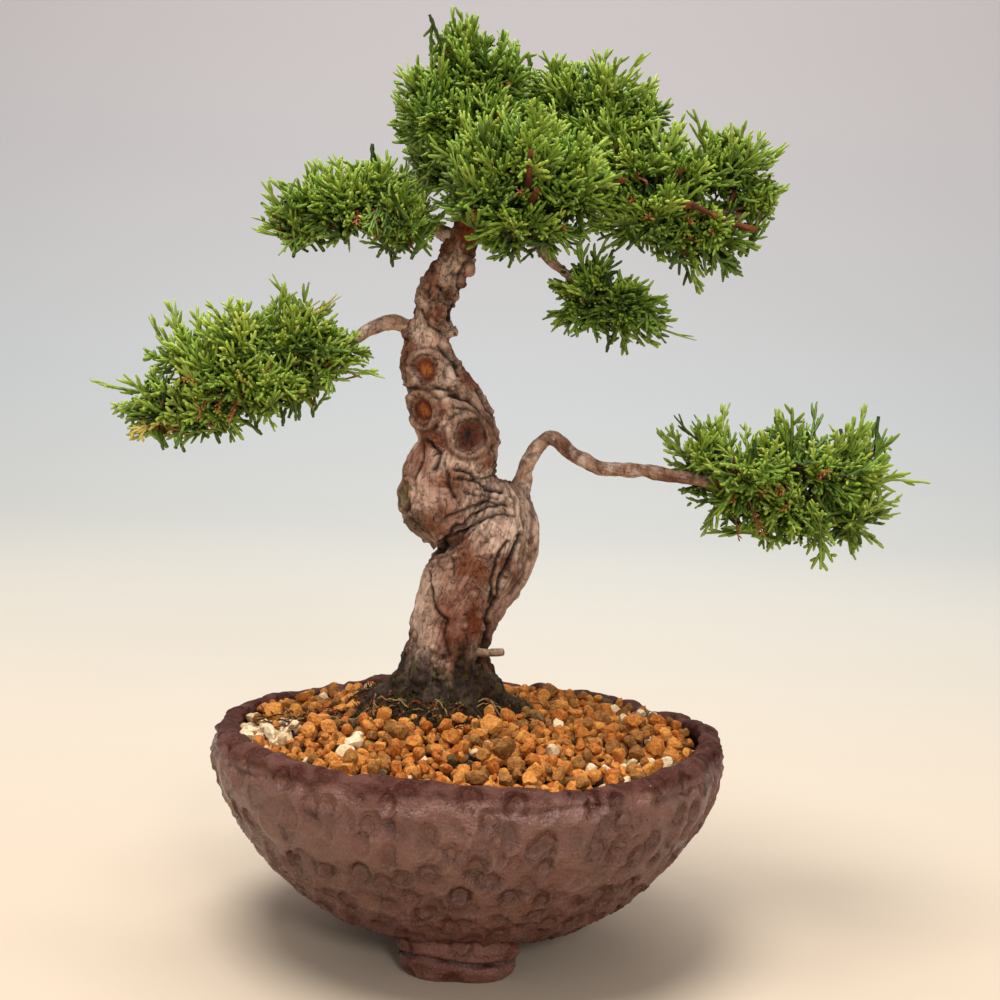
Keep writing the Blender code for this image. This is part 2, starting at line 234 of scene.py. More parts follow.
def gather(parts):
    """Joins skins into one set of points, quads, fans and flow."""
    points, quads, fans, flows, start = [], [], [], [], 0
    for p, q, f, w in parts:
        points.append(p); quads.append(q + start); fans.append(f + start); flows.append(w)
        start += len(p)
    return np.vstack(points), np.vstack(quads), np.vstack(fans), np.vstack(flows)


# ------------------------------------------------------------------ finishes
class Finish:
    """A material put together node by node."""

    def __init__(self, name, roughness=0.6, specular=0.4, **constants):
        self.material = bpy.data.materials.new(name)
        self.material.use_nodes = True
        self.tree = self.material.node_tree
        self.tree.nodes.clear()
        self.out = self.tree.nodes.new("ShaderNodeOutputMaterial")
        self.body = self.tree.nodes.new("ShaderNodeBsdfPrincipled")
        self.tree.links.new(self.body.outputs[0], self.out.inputs[0])
        self.body.inputs["Roughness"].default_value = roughness
        self.body.inputs["Specular IOR Level"].default_value = specular
        for key, value in constants.items():
            self.body.inputs[key.replace("_", " ")].default_value = value

    def node(self, kind, settings=None, **inputs):
        n = self.tree.nodes.new("ShaderNode" + kind)
        for key, value in (settings or {}).items():
            setattr(n, key, value)
        for key, value in inputs.items():
            socket = n.inputs[int(key[1:])] if key[0] == "_" else n.inputs[key]
            if isinstance(value, bpy.types.NodeSocket):
                self.tree.links.new(value, socket)
            else:
                socket.default_value = value
        return n

    def place(self, size=(1, 1, 1), of=None, **more):
        """Object coordinates, or a stored place, measured in lumps of the given size in mm."""
        start = of or self.node("TexCoord").outputs["Object"]
        grow = [(1 if of else 1000) / s for s in size]
        return self.node("Mapping", Vector=start, Scale=grow, **more).outputs[0]

    def kept(self, name):
        n = self.node("Attribute", {"attribute_name": name})
        return n.outputs["Color" if name == "tint" else "Vector"]

    def grain(self, vector, detail=3.0, rough_=0.6, scale=1.0, twist=0.0):
        return self.node("TexNoise", Vector=vector, Scale=scale, Detail=detail, Roughness=rough_, Distortion=twist).outputs[0]

    def ramp(self, value, *stops, smooth=False):
        n = self.node("ValToRGB", Fac=value)
        n.color_ramp.interpolation = "EASE" if smooth else "LINEAR"
        while len(n.color_ramp.elements) < len(stops):
            n.color_ramp.elements.new(0.5)
        for e, (at, colour) in zip(n.color_ramp.elements, stops):
            e.position = at
            e.color = (*((colour,) * 3 if np.isscalar(colour) else colour), 1)
        return n.outputs[0]

    def blend(self, share, a, b, kind="MIX"):
        n = self.node("Mix", {"data_type": "RGBA", "blend_type": kind})
        for index, value in ((0, share), (6, a), (7, b)):
            if isinstance(value, bpy.types.NodeSocket):
                self.tree.links.new(value, n.inputs[index])
            elif index == 0:
                n.inputs[index].default_value = value
            else:
                n.inputs[index].default_value = (*value, 1)
        return n.outputs[2]

    def sum(self, kind, a, b, c=0.0):
        return self.node("Math", {"operation": kind}, _0=a, _1=b, _2=c).outputs[0]

    def colour(self, value):
        if isinstance(value, bpy.types.NodeSocket):
            self.tree.links.new(value, self.body.inputs["Base Color"])
        else:
            self.body.inputs["Base Color"].default_value = (*value, 1)

    def roughness(self, value):
        self.tree.links.new(value, self.body.inputs["Roughness"])

    def bump(self, *heights):
        """Each height is a value and the depth in mm that it stands for."""
        normal = None
        for value, depth in heights:
            n = self.node("Bump", Height=value, Distance=depth * MM, Strength=1.0)
            if normal is not None:
                self.tree.links.new(normal, n.inputs["Normal"])
            normal = n.outputs[0]
        self.tree.links.new(normal, self.body.inputs["Normal"])


def clay_finish():
    f = Finish("unglazed_brown_clay", roughness=0.45, specular=0.6)
    tint = f.kept("tint")
    cloud = f.grain(f.place((14, 14, 14)), 4)
    speck = f.grain(f.place((0.55, 0.55, 0.55)), 1, 0.4)
    pit = f.grain(f.place((1.3, 1.3, 1.3)), 2, 0.5)
    drag = f.grain(f.place((0.5, 0.5, 3.5)), 3, 0.7)
    press = f.node("TexVoronoi", Vector=f.place((8, 8, 10)), Scale=1.0).outputs[0]
    base = f.blend(f.ramp(cloud, (0.35, 0.0), (0.7, 1.0)), rgb(78, 42, 32), rgb(118, 78, 63))
    base = f.blend(0.78, base, tint)
    # painted shade darkens the middle of each pressed dent, and a painted highlight lightens the ridges between the
    # dents
    base = f.blend(f.ramp(press, (0.08, 0.3), (0.24, 0.0)), base, rgb(120, 84, 76), "MULTIPLY")
    base = f.blend(f.ramp(press, (0.5, 0.0), (0.75, 0.15)), base, rgb(160, 120, 108))
    base = f.blend(f.ramp(drag, (0.52, 0.0), (0.72, 0.22)), base, rgb(150, 116, 102))
    base = f.blend(f.ramp(speck, (0.735, 0.0), (0.775, 0.6)), base, rgb(205, 180, 165))
    # painted shade: the small pits are darkened almost to black
    base = f.blend(f.ramp(pit, (0.27, 0.85), (0.33, 0.0)), base, rgb(38, 26, 27))
    f.colour(base)
    height = f.node("SeparateXYZ", Vector=f.node("TexCoord").outputs["Object"]).outputs[2]
    shine = f.ramp(f.grain(f.place((5, 5, 5)), 4), (0.3, 0.2), (0.75, 0.38))
    f.roughness(f.sum("MAXIMUM", shine, f.ramp(f.sum("MULTIPLY", height, 10.0), (0.665, 0.0), (0.7, 0.7))))
    f.tree.links.new(f.ramp(f.sum("MULTIPLY", height, 10.0), (0.665, 0.6), (0.7, 0.12)), f.body.inputs["Specular IOR Level"])
    f.bump((pit, 0.45), (f.ramp(press, (0.28, 0.0), (0.42, 0.6), (0.5, 0.85), (0.8, 1.0)), 2.4), (f.grain(f.place((3.2, 3.2, 2.4)), 5, 0.68), 1.3), (drag, 0.15))
    return f.material


def grain_finish(name, roughness, pits, shade=(96, 56, 30)):
    f = Finish(name, roughness=roughness, specular=0.25)
    tint = f.kept("tint")
    fine = f.grain(f.place((0.9, 0.9, 0.9)), 4, 0.7)
    coarse = f.grain(f.place((2.6, 2.6, 2.6)), 3)
    colour = f.blend(f.ramp(fine, (0.35, 0.62), (0.6, 0.0)), tint, rgb(*shade), "MULTIPLY")
    # painted highlight: paler patches laid over the grains
    colour = f.blend(f.ramp(coarse, (0.45, 0.0), (0.75, 0.3)), colour, rgb(236, 172, 88) if pits > 0.4 else rgb(252, 236, 200))
    f.colour(colour)
    f.bump((fine, pits), (coarse, 0.7))
    return f.material


def soil_finish():
    f = Finish("dark_potting_soil", roughness=0.95, specular=0.15)
    fine = f.grain(f.place((1.1, 1.1, 1.1)), 4, 0.7)
    colour = f.ramp(fine, (0.3, rgb(18, 13, 9)), (0.55, rgb(46, 33, 22)), (0.75, rgb(96, 66, 38)))
    f.colour(colour)
    f.bump((fine, 1.4))
    return f.material


def moss_finish():
    f = Finish("moss_and_rootlets", roughness=0.9, specular=0.2)
    f.colour(f.blend(f.ramp(f.grain(f.place((1.2, 1.2, 1.2)), 3), (0.4, 0.0), (0.7, 0.5)), f.kept("tint"), rgb(28, 22, 14)))
    return f.material


def bark_finish(name, fibre, depth):
    f = Finish(name, roughness=0.78, specular=0.25)
    tint = f.kept("tint")
    flow = f.kept("flow")
    strands = f.grain(f.place((5.5 * fibre, 1.0 * fibre, 50), of=flow), 5, 0.62, twist=0.3)
    blotch = f.grain(f.place((3.4, 3.4, 3.4)), 6, 0.66)
    scale = f.grain(f.place((3.0, 3.0, 4.6)), 5, 0.6, twist=0.5)
    hair = f.grain(f.place((5.0, 5.0, 9.0)), 4, 0.55, twist=0.9)
    where = f.ramp(f.grain(f.place((8, 8, 8)), 2), (0.48, 0.0), (0.6, 1.0))
    freckle = f.grain(f.place((0.8, 0.8, 0.8)), 3, 0.7)
    colour = f.blend(f.ramp(strands, (0.36, 0.5), (0.5, 0.0)), tint, rgb(120, 82, 62), "MULTIPLY")
    colour = f.blend(f.ramp(blotch, (0.53, 0.0), (0.64, 0.5)), colour, (1.5, 1.46, 1.42), "MULTIPLY")
    colour = f.blend(f.ramp(blotch, (0.34, 0.55), (0.45, 0.0)), colour, rgb(150, 116, 94), "MULTIPLY")
    # painted shade: hairline cracks and the rims of bark flakes are darkened as shadow lines
    rim = f.sum("MULTIPLY", f.ramp(scale, (0.54, 0.0), (0.55, 0.7), (0.565, 0.0)), f.sum("SUBTRACT", 1.0, f.ramp(where, (0.2, 0.0), (0.9, 0.85))))
    crack = f.sum("MAXIMUM", f.sum("MULTIPLY", f.ramp(hair, (0.486, 0.0), (0.5, 0.9), (0.514, 0.0)), where), rim)
    colour = f.blend(f.sum("MULTIPLY", crack, 0.85), colour, rgb(34, 20, 15))
    colour = f.blend(f.ramp(freckle, (0.62, 0.0), (0.74, 0.3)), colour, rgb(78, 44, 28))
    f.colour(colour)
    f.bump((strands, depth * 0.9), (blotch, depth * 1.0), (f.ramp(scale, (0.53, 0.0), (0.56, 1.0)), depth * 0.8), (f.sum("SUBTRACT", 1.0, crack), depth * 0.8), (freckle, depth * 0.5))
    return f.material


def leaf_finish():
    """Read wholly from the shoots' own map: along a shoot from its foot, darkened as painted shade inside the spray,
    to its lighter fresh tip, and across from twig and dead tones to fresh greens, which are darker for sprays in
    painted shade and lighter for sprays in painted light.
    """
    f = Finish("scale_leaves", roughness=0.48, specular=0.35)
    spot = f.node("SeparateXYZ", Vector=f.node("UVMap", {"uv_map": "OFBake"}).outputs[0])
    along, tone = spot.outputs[0], spot.outputs[1]
    twig, dead, straw = rgb(104, 66, 40), rgb(112, 60, 32), rgb(196, 164, 84)
    foot = f.ramp(tone, (0.05, twig), (0.11, twig), (0.12, dead), (0.18, dead), (0.19, straw), (0.24, straw), (0.27, rgb(34, 48, 20)), (0.6, rgb(66, 92, 28)), (1.0, rgb(108, 134, 44)))
    tip = f.ramp(tone, (0.05, twig), (0.11, twig), (0.12, rgb(176, 108, 60)), (0.18, rgb(176, 108, 60)), (0.19, straw), (0.24, rgb(180, 180, 76)), (0.27, rgb(58, 82, 28)), (0.6, rgb(128, 160, 48)), (1.0, rgb(188, 206, 86)))
    # darker at each shoot's foot as painted shade inside the spray, lighter at the fresh tip
    f.colour(f.blend(f.ramp(along, (0.25, 0.0), (0.95, 1.0)), foot, tip))
    return f.material


def plain_grit(name, light, dark, size):
    f = Finish(name, roughness=0.85, specular=0.25)
    g = f.grain(f.place((size, size, size)), 4, 0.7)
    f.colour(f.ramp(g, (0.35, dark), (0.65, light)))
    f.bump((g, 0.5))
    return f.material


CLAY = clay_finish()
BAKED_GRAIN = grain_finish("baked_clay_grains", 0.82, 0.45)
PUMICE = grain_finish("pumice_grains", 0.9, 0.35, (206, 176, 138))
SOIL = soil_finish()
MOSS = moss_finish()
TRUNK_BARK = bark_finish("old_juniper_bark", 1.0, 0.55)
BRANCH_BARK = bark_finish("young_juniper_bark", 0.6, 0.22)
LEAF = leaf_finish()


# ------------------------------------------------------------------ pot
RIM_WAVE, PLAN_WAVE, WALL, FLOOR_R, FLOOR_Z, DRAIN_R = 1.6, 1.3, 6.5, 33, 9, 8
OUTER = [(81, 71.8), (84, 70), (85.3, 66), (85.5, 62), (84, 55), (80.5, 47.5), (75, 38.5), (67.5, 29), (58, 20), (45.5, 12), (33, 9)]


def hand_shape(p):
    """Moves points of the true round bowl to where the potter's hands left them."""
    a = np.arctan2(p[:, 1], p[:, 0])
    r = np.hypot(p[:, 0], p[:, 1])
    up = np.clip((p[:, 2] - 9) / 62, 0, 1)
    out = PLAN_WAVE * up * (r / 85.5) * (0.6 * np.sin(2 * a + 0.7) + 0.4 * np.sin(5 * a))
    lip = np.clip((p[:, 2] - 57) / 12, 0, 1) * np.clip((r - 55) / 20, 0, 1)
    rise = RIM_WAVE * lip * (0.6 * np.sin(3 * a + 2.2) + 0.4 * np.sin(7 * a + 0.4) - 0.5 * np.sin(a))
    r2 = r + out
    return np.stack([r2 * np.cos(a), r2 * np.sin(a), p[:, 2] + rise], 1), a, r


def bowl_profile():
    outer = smooth_path([(r, 0, z, 1) for r, z in OUTER], 0.92)[:, [0, 2]]
    slope = unit(np.gradient(outer, axis=0))
    inner = outer + np.stack([slope[:, 1], -slope[:, 0]], 1) * WALL
    inner = inner[(inner[:, 1] < 66.5) & (inner[:, 1] > 15.5)][::6]
    lip = np.array([(79.6, 72.0), (78.2, 71.6), (77.4, 70.4), (77.4, 69.0)])
    foot = np.array([(26, 9), (18, 9), (11, 9), (8.6, 9), (8, 9.6), (8, 15), (8.6, 15.5), (14, 15.5), (24, 15.5)])
    return np.vstack([outer, foot, inner[::-1], lip[::-1]])


def make_bowl():
    profile = bowl_profile()
    me = mesh_from("bowl", np.stack([profile[:, 0], profile[:, 0] * 0, profile[:, 1]], 1), [np.array([[0, 1, 2]])])
    me.clear_geometry()
    spun = add_object("bowl", me)
    pts = np.stack([profile[:, 0], profile[:, 0] * 0, profile[:, 1]], 1) * MM + CENTRE
    me.from_pydata([tuple(p) for p in pts], [(i, (i + 1) % len(pts)) for i in range(len(pts))], [])
    bpy.ops.object.select_all(action="DESELECT")
    bpy.context.view_layer.objects.active = spun
    spun.select_set(True)
    bpy.ops.object.mode_set(mode="EDIT")
    bpy.ops.mesh.select_all(action="SELECT")
    bpy.ops.mesh.spin(steps=590, angle=2 * math.pi, center=tuple(CENTRE), axis=(0, 0, 1))
    bpy.ops.mesh.select_all(action="SELECT")
    bpy.ops.mesh.remove_doubles(threshold=0.00002)
    bpy.ops.mesh.normals_make_consistent(inside=False)
    bpy.ops.mesh.faces_shade_smooth()
    bpy.ops.object.mode_set(mode="OBJECT")
    spun.select_set(False)

    p = read_points(me)
    r = np.hypot(p[:, 0], p[:, 1])
    a = np.arctan2(p[:, 1], p[:, 0])
    outer = smooth_path([(q, 0, z, 1) for q, z in OUTER], 0.92)[:, [0, 2]]
    run = np.concatenate([[0], np.cumsum(np.linalg.norm(np.diff(outer, axis=0), axis=1))])
    near = ((r[:, None] - outer[None, :, 0]) ** 2 + (p[:, 2][:, None] - outer[None, :, 1]) ** 2)
    row = near.argmin(1)
    on_skin = near[np.arange(len(p)), row] < 0.3
    down = run[row]
    total = run[-1]

    # finger dents, overlapping like scales, each pushed in from one side
    rng = np.random.default_rng(7)
    dent = np.zeros(len(p))
    edge = np.zeros(len(p))
    skin = np.where(on_skin)[0]
    ring_down = 6.5
    while ring_down < total - 4:
        here = int(np.argmin(abs(run - ring_down)))
        radius = outer[here, 0]
        tall = 1.0 if ring_down < 30 else 0.78
        pitch = 8.6 if ring_down < 30 else 8.0
        count = max(6, int(2 * math.pi * radius / pitch))
        for n in range(count):
            if rng.random() < 0.12:
                continue
            angle = (n + 0.5 * (int(ring_down) % 2) + rng.normal(0, 0.22)) * 2 * math.pi / count
            middle = ring_down + rng.normal(0, 1.6)
            half_w = rng.uniform(2.9, 4.6)
            half_h = rng.uniform(4.0, 6.8) * tall
            depth = rng.uniform(1.0, 2.7) * (0.6 if ring_down < 9 else 1)
            spin = rng.normal(0, 0.35)
            across = (np.mod(a[skin] - angle + math.pi, 2 * math.pi) - math.pi) * r[skin]
            along = down[skin] - middle
            close = (abs(across) < 8) & (abs(along) < 9)
            x, y, idx = across[close], along[close], skin[close]
            x, y = x * math.cos(spin) + y * math.sin(spin), -x * math.sin(spin) + y * math.cos(spin)
            q = np.sqrt((x / half_w) ** 2 + (y / half_h) ** 2)
            bite = depth * np.clip(1 - q**4.5, 0, 1) * (0.55 + 0.45 * np.clip((x / half_w * 0.5 - y / half_h * 0.9), -1, 1))
            dent[idx] = np.maximum(dent[idx], bite)
            edge[idx] = np.maximum(edge[idx], np.exp(-((q - 1.04) / 0.10) ** 2) * np.clip(0.35 + (x / half_w + y / half_h) * 0.5, 0, 1))
        ring_down += rng.uniform(7.6, 9.2) * (1.0 if ring_down < 30 else 0.86)
    rim_hold = ease(down, 1.5, 8)
    normal = read_normals(me)
    push = -dent * rim_hold + 0.5 * edge * rim_hold * (dent < 0.5)
    push += 0.45 * rough(np.stack([a * 80, down, a * 0], 1), (13, 7, 10), 4) * ease(down, 0, 6)
    push = np.where(on_skin, push, 0)
    p = p + normal * push[:, None]

    # the lip is rolled, pinched and torn in places
    p, a, r = hand_shape(p)
    at_lip = ease(p[:, 2], 64.5, 69.5) * (r > 70)
    around = np.stack([np.cos(a) * 80, np.sin(a) * 80, p[:, 2] * 0.6], 1)
    ripple = rough(around, (9, 9, 6), 9, 4)
    p[:, 2] += at_lip * (1.35 * ripple - 0.3)
    swell = at_lip * 1.9 * rough(around, (6, 6, 2.2), 12, 4)
    roll = np.exp(-((p[:, 2] - 66.2 - 1.2 * rough(np.stack([np.cos(a) * 80, np.sin(a) * 80, a * 0], 1), 12, 15)) / 0.7) ** 2) * (r > 80)
    swell -= 1.0 * roll * ease(rough(np.stack([np.cos(a) * 80, np.sin(a) * 80, a * 0], 1), 16, 16), -0.25, 0.15)
    p[:, 0] += np.cos(a) * swell
    p[:, 1] += np.sin(a) * swell
    for where, wide, deep in ((-114, 2.0, 1.8), (-63, 1.7, 1.6), (-35, 1.4, 1.2), (-152, 1.8, 1.4), (20, 2.0, 1.5), (75, 1.7, 1.4), (130, 2.2, 1.6)):
        away = (np.degrees(a) - where + 180) % 360 - 180
        bend = away + 0.5 * np.sin(p[:, 2] * 0.9)
        notch = np.exp(-(bend / wide) ** 2) * ease(p[:, 2], 60, 69) * (r > 70)
        fold = np.exp(-((bend - 1.9 * wide) / wide) ** 2) * ease(p[:, 2], 58, 68) * (r > 70)
        p[:, 2] -= notch * deep * 0.7
        p[:, 0] += np.cos(a) * (fold * 0.8 - notch * deep * 0.5)
        p[:, 1] += np.sin(a) * (fold * 0.8 - notch * deep * 0.5)
    write_points(me, p)

    band = ease(p[:, 2], 34, 60)
    cloud = rough(p, 12, 21)
    # lighter up the upper band: partly the clay's own lilac colour, partly painted sheen
    tint = mix(rgb(92, 46, 32), rgb(124, 80, 68), np.clip(band * 0.85 + 0.25 * cloud, 0, 1))
    # painted shade in the finger dents, over random darker clouds
    tint = mix(tint, rgb(54, 31, 25), np.clip(dent * 0.22 + 0.4 * rough(p, 5, 22), 0, 0.6))
    # painted highlight along the raised rims of the dents
    tint = mix(tint, rgb(164, 130, 114), np.clip(edge * 0.55 * (0.6 + 0.4 * cloud), 0, 1) * on_skin)
    tint = mix(tint, rgb(66, 26, 20), ease(p[:, 2] + 1.2 * rough(p, 6, 24), 67.6, 69.6) * 0.9)
    tint = mix(tint, rgb(90, 34, 14), (1 - ease(p[:, 2], 12, 46)) * 0.85)
    paint(me, "tint", tint)
    finish_piece(spun, CLAY, "clay", "pot_bowl")
    return spun


def make_foot(name, node, angle, out_from, half_long, half_deep, seed):
    """A thick pad of clay, folded over once, that the bowl sits on."""
    bpy.ops.mesh.primitive_cube_add(size=2)
    foot = bpy.context.object
    foot.name = name
    bpy.ops.object.mode_set(mode="EDIT")
    bpy.ops.mesh.select_all(action="SELECT")
    bpy.ops.mesh.subdivide(number_cuts=30)
    bpy.ops.mesh.faces_shade_smooth()
    bpy.ops.object.mode_set(mode="OBJECT")
    foot.select_set(False)
    me = foot.data
    co = np.zeros(len(me.vertices) * 3, np.float32)
    me.vertices.foreach_get("co", co)
    q = co.reshape(-1, 3).astype(float)
    flat = np.maximum(np.abs(q[:, 0]), np.abs(q[:, 1]))
    ring = (np.abs(q[:, 0]) ** 2.3 + np.abs(q[:, 1]) ** 2.3) ** (1 / 2.3)
    ring = np.maximum(ring, 1e-6)
    x, y, z = q[:, 0] * flat / ring, q[:, 1] * flat / ring, q[:, 2]
    shoulder = 1 - 0.14 * np.abs(z) ** 4 - 0.07 * (z < 0)
    up = (z + 1) / 2
    away = np.clip(flat, 0, 1)
    x, y = x * shoulder, y * shoulder
    p = np.stack([x * half_long, y * half_deep, up * 14.6], 1)
    lip = rough(p, (9, 9, 4), seed)
    around = np.arctan2(p[:, 1], p[:, 0])
    waist = 6.8 + 0.9 * np.sin(around * 2 + seed) + 0.8 * lip
    gap = np.exp(-((p[:, 2] - waist) / 0.75) ** 2)
    upper = ease(p[:, 2], 6.5, 8.5)
    out = unit(np.stack([p[:, 0] / half_long, p[:, 1] / half_deep, p[:, 2] * 0], 1))
    outward = away**6
    move = (0.7 * lip - 1.7 * gap - 0.5 * upper + 0.35 * rough(p, (4, 4, 2.4), seed + 3)) * outward
    p = p + out * move[:, None]
    p[:, 2] = np.where(p[:, 2] < 0.4, 0, p[:, 2])
    base = p[:, 2].copy()
    p[:, 2] = np.maximum(p[:, 2], 0)
    # the top follows the underside of the bowl and stays just inside its clay
    turned = math.radians(angle)
    c, s = math.cos(turned), math.sin(turned)
    px, py = p[:, 0], p[:, 1]
    radial = out_from + py
    world = np.stack([radial * c - px * s * 1.0, radial * s + px * c, p[:, 2]], 1)
    r = np.hypot(world[:, 0], world[:, 1])
    table_r = [q_[0] for q_ in OUTER[::-1]]
    table_z = [q_[1] for q_ in OUTER[::-1]]
    under = np.interp(r, table_r, table_z, left=9) + 1.2
    world[:, 2] = np.where(base > 0, np.minimum(world[:, 2], under), 0)
    me.vertices.foreach_set("co", (world * MM + CENTRE).astype(np.float32).ravel())
    me.update()
    bpy.context.view_layer.objects.active = foot
    foot.select_set(True)
    bpy.ops.object.mode_set(mode="EDIT")
    bpy.ops.mesh.select_all(action="SELECT")
    bpy.ops.mesh.normals_make_consistent(inside=False)
    bpy.ops.object.mode_set(mode="OBJECT")
    foot.select_set(False)
    tint = mix(rgb(100, 48, 32), rgb(128, 74, 56), np.clip(0.5 + 0.6 * lip, 0, 1))
    # painted shade in the crease of the fold
    tint = mix(tint, rgb(40, 24, 20), np.clip(gap * outward, 0, 0.9))
    paint(me, "tint", tint)
    finish_piece(foot, CLAY, "clay", node)


make_bowl()
make_foot("front_foot", "pot_foot_front", -90, 35, 20.5, 12.5, 3)
make_foot("back_left_foot", "pot_foot_back_left", 140, 33, 16, 12, 5)
make_foot("back_right_foot", "pot_foot_back_right", 40, 33, 16, 12, 8)


# ------------------------------------------------------------------ planting: soil, moss, grains
GRAVEL_EDGE, GRAVEL_CROWN, GRAVEL_R = 66.3, 72.6, 76.5
MOSS_AT, MOSS_SIZE = np.array([-13.0, 11.0, 71.0]), np.array([31.0, 26.0, 9.5])


def ground(x, y):
    """Height of the planting's surface under the loose grains."""
    share = np.clip(np.hypot(x, y) / GRAVEL_R, 0, 1)
    return GRAVEL_EDGE + (GRAVEL_CROWN - GRAVEL_EDGE) * (1 - share**2)


def make_ground():
    bpy.ops.mesh.primitive_grid_add(x_subdivisions=170, y_subdivisions=170, size=2)
    ob = bpy.context.object
    ob.name = "soil_surface"
    ob.select_set(False)
    me = ob.data
    co = np.zeros(len(me.vertices) * 3, np.float32)
    me.vertices.foreach_get("co", co)
    q = co.reshape(-1, 3).astype(float)
    x, y = q[:, 0], q[:, 1]
    px, py = x * np.sqrt(1 - y * y / 2) * 78.4, y * np.sqrt(1 - x * x / 2) * 78.4
    z = ground(px, py) - 1.6 + 0.7 * rough(np.stack([px, py, px * 0], 1), 5, 3)
    rim = ease(np.hypot(px, py), 74, 78.4)
    z -= 1.5 * rim
    write_points(me, np.stack([px, py, z], 1))
    me.polygons.foreach_set("use_smooth", np.ones(len(me.polygons), bool))
    ob.modifiers.new("skirt", "SOLIDIFY").thickness = 4 * MM
    ob.modifiers["skirt"].offset = -1
    apply_all(ob)
    finish_piece(ob, SOIL, "grain", "surface_grains")


def make_moss():
    bpy.ops.mesh.primitive_uv_sphere_add(segments=96, ring_count=48, radius=1)
    ob = bpy.context.object
    ob.name = "moss_and_roots"
    ob.select_set(False)
    me = ob.data
    co = np.zeros(len(me.vertices) * 3, np.float32)
    me.vertices.foreach_get("co", co)
    q = co.reshape(-1, 3).astype(float)
    a = np.arctan2(q[:, 1], q[:, 0])
    spread = 1 + 0.12 * np.sin(3 * a + 1) + 0.1 * np.sin(5 * a + 2.4) + 0.25 * np.exp(-((a - math.radians(190)) / 0.4) ** 2)
    p = q * MOSS_SIZE * np.stack([spread, spread, spread * 0 + 1], 1) + MOSS_AT
    p[:, 2] += 1.4 * rough(p, 4.5, 8) * (q[:, 2] > 0)
    p = p + unit(q) * (0.6 * rough(p, 1.8, 9))[:, None]
    p[:, 2] = np.maximum(p[:, 2], 66.5)
    # short moss shoots and rootlets over it
    rng = np.random.default_rng(12)
    n = 3400
    angle, far = rng.uniform(0, 2 * math.pi, n), np.sqrt(rng.uniform(0, 1, n))
    d = np.stack([np.cos(angle) * far, np.sin(angle) * far, np.sqrt(np.clip(1 - far**2, 0.02, 1))], 1)
    wide = 1 + 0.12 * np.sin(3 * angle + 1) + 0.1 * np.sin(5 * angle + 2.4)
    foot = d * MOSS_SIZE * np.stack([wide, wide, wide * 0 + 1], 1) + MOSS_AT
    foot[:, 2] = np.maximum(foot[:, 2], ground(foot[:, 0], foot[:, 1]) - 0.5)
    lean = unit(np.stack([rng.normal(0, 0.7, n), rng.normal(0, 0.7, n), rng.uniform(0.35, 1.2, n)], 1))
    tall = rng.uniform(1.2, 4.2, n)
    side = unit(np.cross(lean, rng.normal(0, 1, (n, 3))))
    other = np.cross(lean, side)
    wide_at = rng.uniform(0.18, 0.38, n)[:, None]
    ring = [foot + (side * math.cos(t) + other * math.sin(t)) * wide_at for t in (0, 2.094, 4.189)]
    tip = foot + lean * tall[:, None] + rng.normal(0, 0.35, (n, 3))
    tufts = np.stack([*ring, tip], 1).reshape(-1, 3)
    i = np.arange(n)[:, None] * 4
    tris = np.concatenate([i + [0, 1, 3], i + [1, 2, 3], i + [2, 0, 3]])
    write_points(me, p)
    me.polygons.foreach_set("use_smooth", np.ones(len(me.polygons), bool))
    body_points = p
    shoots = add_object("moss_shoots", mesh_from("moss_shoots", tufts, [tris]))
    dark = mix(rgb(24, 17, 11), rgb(48, 38, 22), np.clip(0.5 + rough(body_points, 6, 5), 0, 1))
    paint(me, "tint", dark)
    kind = np.repeat(rng.random(n), 4)
    green = mix(rgb(30, 24, 14), rgb(86, 88, 40), np.clip((kind - 0.45) / 0.55, 0, 1) ** 2)
    green = mix(green, rgb(84, 48, 30), (kind < 0.3) * 0.9)
    paint(shoots.data, "tint", green)
    finish_piece(ob, MOSS, "moss", "moss_mound")
    finish_piece(shoots, MOSS, "moss")


def grain_masters(rng, count):
    """Small worn stones of eighty faces each."""
    out = []
    for n in range(count):
        bpy.ops.mesh.primitive_ico_sphere_add(subdivisions=2, radius=1)
        ob = bpy.context.object
        me = ob.data
        co = np.zeros(len(me.vertices) * 3, np.float32)
        me.vertices.foreach_get("co", co)
        q = co.reshape(-1, 3).astype(float)
        faces = np.array([list(f.vertices) for f in me.polygons])
        for k in range(7):
            d = unit(rng.normal(0, 1, 3))
            cut = rng.uniform(0.5, 0.82)
            over = np.maximum(q @ d - cut, 0)
            q = q - over[:, None] * d * 0.9
        q = q * (1 + 0.22 * lumps(q + n * 9, 0.7, n)[:, None])
        q = q * rng.uniform(0.78, 1.22, 3) * 1.08
        out.append((q, faces))
        bpy.data.objects.remove(ob)
    return out


def copies(master, spots, turns, sizes):
    q, faces = master
    pts = np.einsum("kij,nj->kni", turns * sizes[:, None, None], q) + spots[:, None]
    k, n = len(spots), len(q)
    return pts.reshape(-1, 3), (faces[None] + (np.arange(k) * n)[:, None, None]).reshape(-1, faces.shape[1])


def random_turns(rng, n):
    q = unit(rng.normal(0, 1, (n, 4)))
    w, x, y, z = q.T
    return np.stack([
        1 - 2 * (y * y + z * z), 2 * (x * y - z * w), 2 * (x * z + y * w),
        2 * (x * y + z * w), 1 - 2 * (x * x + z * z), 2 * (y * z - x * w),
        2 * (x * z - y * w), 2 * (y * z + x * w), 1 - 2 * (x * x + y * y)], 1).reshape(-1, 3, 3)


